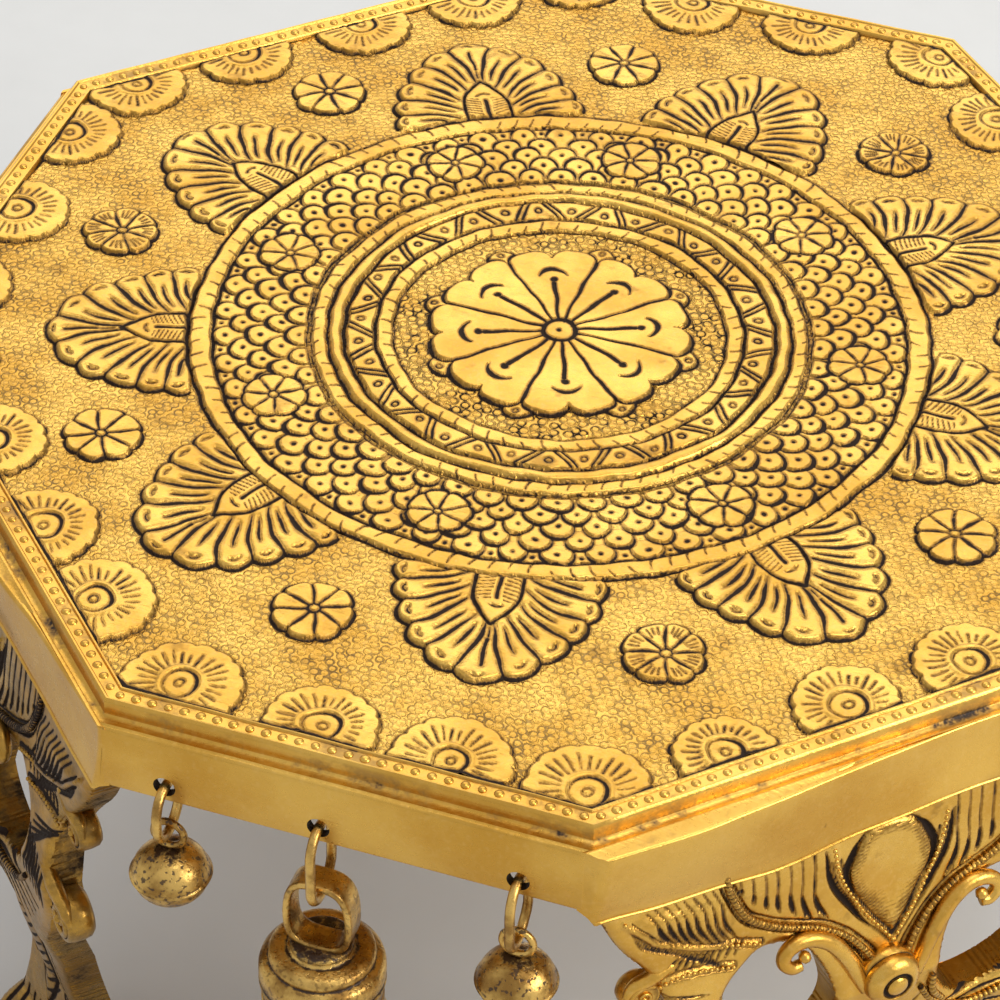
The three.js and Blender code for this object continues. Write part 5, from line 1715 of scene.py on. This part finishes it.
def ring_tube(batch, line, section, ink=None):
    """A closed bar along a line, its section given as (outward, sideways) pairs."""
    count, sides = len(line), len(section)
    ahead = np.roll(line, -1, axis=0) - np.roll(line, 1, axis=0)
    ahead /= np.linalg.norm(ahead, axis=1)[:, None]
    centre = line.mean(axis=0)
    plane = np.cross(line[0] - centre, ahead[0])
    plane /= np.linalg.norm(plane)
    outward = np.cross(ahead, plane)
    points = (line[:, None] + section[None, :, :1] * outward[:, None]
              + section[None, :, 1:] * plane[None, None, :])
    faces = []
    for i in range(count):
        for j in range(sides):
            a, b = i * sides + j, i * sides + (j + 1) % sides
            c, d = (i + 1) % count * sides + (j + 1) % sides, (i + 1) % count * sides + j
            faces.append((a, d, c, b))
    batch.add(points, faces, ink)


def link_shape(x, drop):
    batch = Batch()
    oval = wire_ring(LINK_BEND, drop - 2 * LINK_BEND, 56)
    along = np.arange(len(oval)) * FULL / len(oval)
    line = np.stack([x + 0.12e-3 * np.sin(2 * along + 0.6), -SKIRT_MIDDLE + oval[:, 0],
                     LINK_TOP_Z - drop / 2 + oval[:, 1]], axis=-1)
    ring_tube(batch, line, round_section(WIRE, 12))
    return batch


def ghungroo_shape(x, drop):
    """Flattened round bell: a sharp ridge at its middle, an eye above, a slot with round ends below."""
    hang = LINK_TOP_Z - drop
    middle = hang - GHUNGROO_DROP
    turn = np.linspace(0.06, math.pi - 0.06, 61)
    ridge = np.exp(-((turn - QUARTER) / 0.055) ** 2)
    radius = GHUNGROO_RADIUS * np.sin(turn) ** 0.92 + GHUNGROO_RIDGE * ridge
    up = GHUNGROO_RISE * np.sign(np.cos(turn)) * np.abs(np.cos(turn)) ** 1.05
    shell = Batch()
    lathe(shell, np.stack([radius, up], axis=-1), 64, (x, -SKIRT_MIDDLE, middle), ink=bell_ink(turn))
    inner_turn = np.linspace(0.3, math.pi - 0.3, 13)
    across, rise = GHUNGROO_HOLLOW
    inside = np.stack([across * np.sin(inner_turn), rise * np.cos(inner_turn)], axis=-1)
    hollow = Batch()
    lathe(hollow, inside, 24, (x, -SKIRT_MIDDLE, middle))
    slot = Batch()
    for offset in (-MOUTH_REACH, MOUTH_REACH):
        lathe(slot, [(MOUTH_ROUND, z) for z in MOUTH_SPAN], 20, (x + offset, -SKIRT_MIDDLE, middle))
    corners = [(MOUTH_REACH * i, MOUTH_HALF_WIDTH * j) for i, j in ((-1, -1), (1, -1), (1, 1), (-1, 1))]
    groove = Batch()
    prism(groove, *([(x + px, py - SKIRT_MIDDLE, middle + z) for px, py in corners] for z in MOUTH_SPAN))
    cutters = [hollow.piece("hollow"), slot.piece("slot_ends"), groove.piece("slot")]
    batch = Batch()
    batch.take(pierce(shell.piece("shell"), cutters))
    eye = wire_ring(EYE_BEND, 0, 32)
    line = np.stack([x + eye[:, 0], np.full(len(eye), -SKIRT_MIDDLE), hang - EYE_DROP + eye[:, 1]], axis=-1)
    ring_tube(batch, line, round_section(EYE_WIRE, 10))
    return batch


def bell_ink(turn):
    """Soot round the eye's foot and in the two valleys beside the ridge."""
    valleys = np.abs(np.abs(turn - QUARTER) - 0.085) * 9
    foot = np.clip((turn - 0.35) * 2.5, -0.1, 9)
    return np.minimum(np.minimum(valleys, foot), 3.0)


def bell_shape(x, drop):
    """Turned bell: stepped crown, waist with two beads, flared mouth, and a strap eye on top."""
    batch = Batch()
    top = LINK_TOP_Z - drop - BELL_DROP
    outline = np.array(BELL_CROWN + BELL_WAIST + BELL_HOLLOW)
    ink = np.full(len(outline), 3.0)
    for out, down in BELL_LINES:
        ink = np.minimum(ink, np.hypot(outline[:, 0] - out, outline[:, 1] - down) - 0.3)
    ink[:len(BELL_TOP_INK)] = BELL_TOP_INK
    lathe(batch, outline * MM, 80, (x, -SKIRT_MIDDLE, top), ink=ink)
    turn = np.arange(64) * FULL / 64
    power = 2 / STRAP_SQUARENESS
    across = STRAP_HALF * np.sign(np.cos(turn)) * np.abs(np.cos(turn)) ** power
    up = STRAP_RISE * np.sign(np.sin(turn)) * np.abs(np.sin(turn)) ** power
    across = across * (1 - 0.08 * np.clip(up / STRAP_RISE, 0, 1))
    line = np.stack([x + across, np.full(len(turn), -SKIRT_MIDDLE), top + STRAP_MIDDLE + up], axis=-1)
    ring_tube(batch, line, strap_section(STRAP_THICKNESS, STRAP_WIDTH))
    rod = Batch()
    lathe(rod, [(PIN_RADIUS, -PIN_HALF), (PIN_RADIUS, PIN_HALF)], 12)
    points = rod.points[0]
    level = points[:, 1] + top - PIN_DROP
    batch.add(np.stack([x + points[:, 2], points[:, 0] - SKIRT_MIDDLE, level], axis=-1), rod.faces)
    return batch


def clapper_shape(x, drop):
    """Small ring round the bell's pin, a rod and a ball."""
    batch = Batch()
    pin = LINK_TOP_Z - drop - BELL_DROP - PIN_DROP
    eye = wire_ring(CLAPPER_EYE, 0, 20)
    line = np.stack([np.full(len(eye), x), -SKIRT_MIDDLE + eye[:, 0], pin + eye[:, 1]], axis=-1)
    ring_tube(batch, line, round_section(CLAPPER_WIRE, 8))
    rod = [(0.95, -2.2), (1.0, -3), (0.9, -10), (0.95, -17.5), (1.2, -18.3)]
    turn = np.linspace(0.45, math.pi - 0.1, 14)
    ball = [(CLAPPER_BALL * math.sin(a), CLAPPER_BALL * math.cos(a) - CLAPPER_LENGTH) for a in turn]
    lathe(batch, np.array(rod + ball) * MM, 24, (x, -SKIRT_MIDDLE, pin))
    return batch


def pellet_shape(x, drop):
    batch = Batch()
    turn = np.linspace(0.12, math.pi - 0.12, 12)
    profile = PELLET_RADIUS * np.stack([np.sin(turn), np.cos(turn)], axis=-1)
    lathe(batch, profile, 20, (x, -SKIRT_MIDDLE, LINK_TOP_Z - drop - PELLET_DROP))
    return batch


# Stage, light and camera

ROW_AZIMUTH = math.radians(18.21)
ELEVATION = math.radians(40.98)
ROLL = 0.02399
TARGET = Vector((0.0030, -0.0614, TOP_Z))
DISTANCE = 0.840
LENS = 138.1
SENSOR = 36
FLOOR_SIZE = 8
SKY = (0.96, 0.97, 1.0, 1)
SKY_LEVEL = 0.72
WARM = (1.0, 0.98, 0.95)

# Name, place, what it points at, size, power and colour
LAMPS = (
    ("key", (1.2, -0.2, 0.85), (0.1, 0, 0.08), (0.6, 0.6), 11, (1.0, 0.97, 0.92)),
    ("top", (0.3, 0.1, 1.7), (0, 0, 0.15), (0.9, 0.7), 6, WARM),
    ("back", (-0.4, 1.25, 1.35), (0, 0, 0.18), (1.6, 1.0), 8, WARM),
)


def camera():
    data = bpy.data.cameras.new("camera")
    data.lens = LENS
    data.sensor_width = SENSOR
    data.clip_start, data.clip_end = 0.01, 20
    view = bpy.data.objects.new("camera", data)
    bpy.context.scene.collection.objects.link(view)
    back = Vector((math.sin(ROW_AZIMUTH) * math.cos(ELEVATION),
                   -math.cos(ROW_AZIMUTH) * math.cos(ELEVATION), math.sin(ELEVATION)))
    view.location = TARGET + back * DISTANCE
    view.rotation_mode = "QUATERNION"
    view.rotation_quaternion = (-back).to_track_quat("-Z", "Y") @ Quaternion((0, 0, 1), ROLL)
    bpy.context.scene.camera = view


def area_light(name, place, aim, size, power, colour):
    data = bpy.data.lights.new(name, "AREA")
    data.shape = "RECTANGLE"
    data.size, data.size_y = size
    data.energy = power
    data.color = colour
    lamp = bpy.data.objects.new(name, data)
    bpy.context.scene.collection.objects.link(lamp)
    lamp.location = place
    lamp.rotation_mode = "QUATERNION"
    lamp.rotation_quaternion = (Vector(aim) - Vector(place)).to_track_quat("-Z", "Y")


def studio():
    world = bpy.data.worlds.new("studio")
    bpy.context.scene.world = world
    world.use_nodes = True
    background = world.node_tree.nodes["Background"]
    background.inputs["Color"].default_value = SKY
    background.inputs["Strength"].default_value = SKY_LEVEL
    bpy.ops.mesh.primitive_plane_add(size=FLOOR_SIZE)
    floor = bpy.context.object
    floor.name = "floor"
    nodes = Nodes("pale_floor")
    speck = nodes.noise(60, 3, 0.5)
    nodes.feed(colour=nodes.mix(speck, DARK_FLOOR, PALE_FLOOR))
    nodes.shader.inputs["Roughness"].default_value = 0.85
    dress(floor, nodes.material)
    for lamp in LAMPS:
        area_light(*lamp)


# Assembly

# Age of each leg's casting and carving; the back legs, and most of all the front-left leg, are darkened
# further as painted shade
LEG_AGE_AND_SHADE = (0.06, 0.3, 0.3, 0.7)


def fit(piece, material, body="table", node=None):
    """Dresses a piece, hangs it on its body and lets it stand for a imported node."""
    dress(piece, material)
    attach(piece, body)
    if node:
        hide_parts(node)


brass = chased_brass()
smooth_brass = plain_brass()
dark_brass = tarnished_brass()
steel = grey_steel()

for sheet in medallion_sheets() + border_sheets():
    fit(sheet, brass)

body = octagon_turning("tray_body", tray_section(), TRAY_COLUMNS)
pierce(body, [skirt_holes()])
fit(body, smooth_brass, node="table_top")
panels = []
for i, leg in enumerate(LEGS):
    panels.append(side_panel(f"panel_{leg}", EIGHTH + i * QUARTER, PANEL_BOW_B if i % 2 else PANEL_BOW_A))
for piece in [rim_pearls(), pads()] + panels:
    fit(piece, smooth_brass)

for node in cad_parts.values():
    dress(node, smooth_brass)

casting, carving = Batch(), Batch()
leg_body(casting)
leg_ornament(carving)
for i, leg in enumerate(LEGS):
    turn = EIGHTH + i * QUARTER
    fit(casting.piece(f"casting_{leg}", turn, LEG_AGE_AND_SHADE[i]), brass, node=f"leg_{leg}")
    fit(carving.piece(f"carving_{leg}", turn, LEG_AGE_AND_SHADE[i]), brass)
    fit(lug_pair(f"lugs_{leg}", turn), smooth_brass)
    for label, hand in (("left", -1), ("right", 1)):
        node = f"screw_{leg}_{label}"
        fit(screw(f"shown_{node}", hand, turn), steel, node=node)

# What hangs in each place: kind, shape, material, slot and how far it has aged
LINK = ("link", link_shape, dark_brass, "tarnished_brass", 0)
SMALL_BELL = (LINK, ("ghungroo", ghungroo_shape, dark_brass, "tarnished_brass", 1),
              ("pellet", pellet_shape, steel, "steel", 0))
LARGE_BELL = (LINK, ("bell", bell_shape, dark_brass, "tarnished_brass", 0.4),
              ("clapper", clapper_shape, dark_brass, "tarnished_brass", 0))

for letter, x, drop in PENDANTS:
    for kind, shape, material, slot, age in (LARGE_BELL if letter == "b" else SMALL_BELL):
        batch = shape(x, drop)
        for i, side in enumerate(SIDES):
            node = f"{kind}_{side}_{letter}"
            fit(batch.piece(f"shown_{node}", i * QUARTER, age), material, node, node)

camera()
studio()
bpy.context.scene.view_settings.view_transform = "Standard"
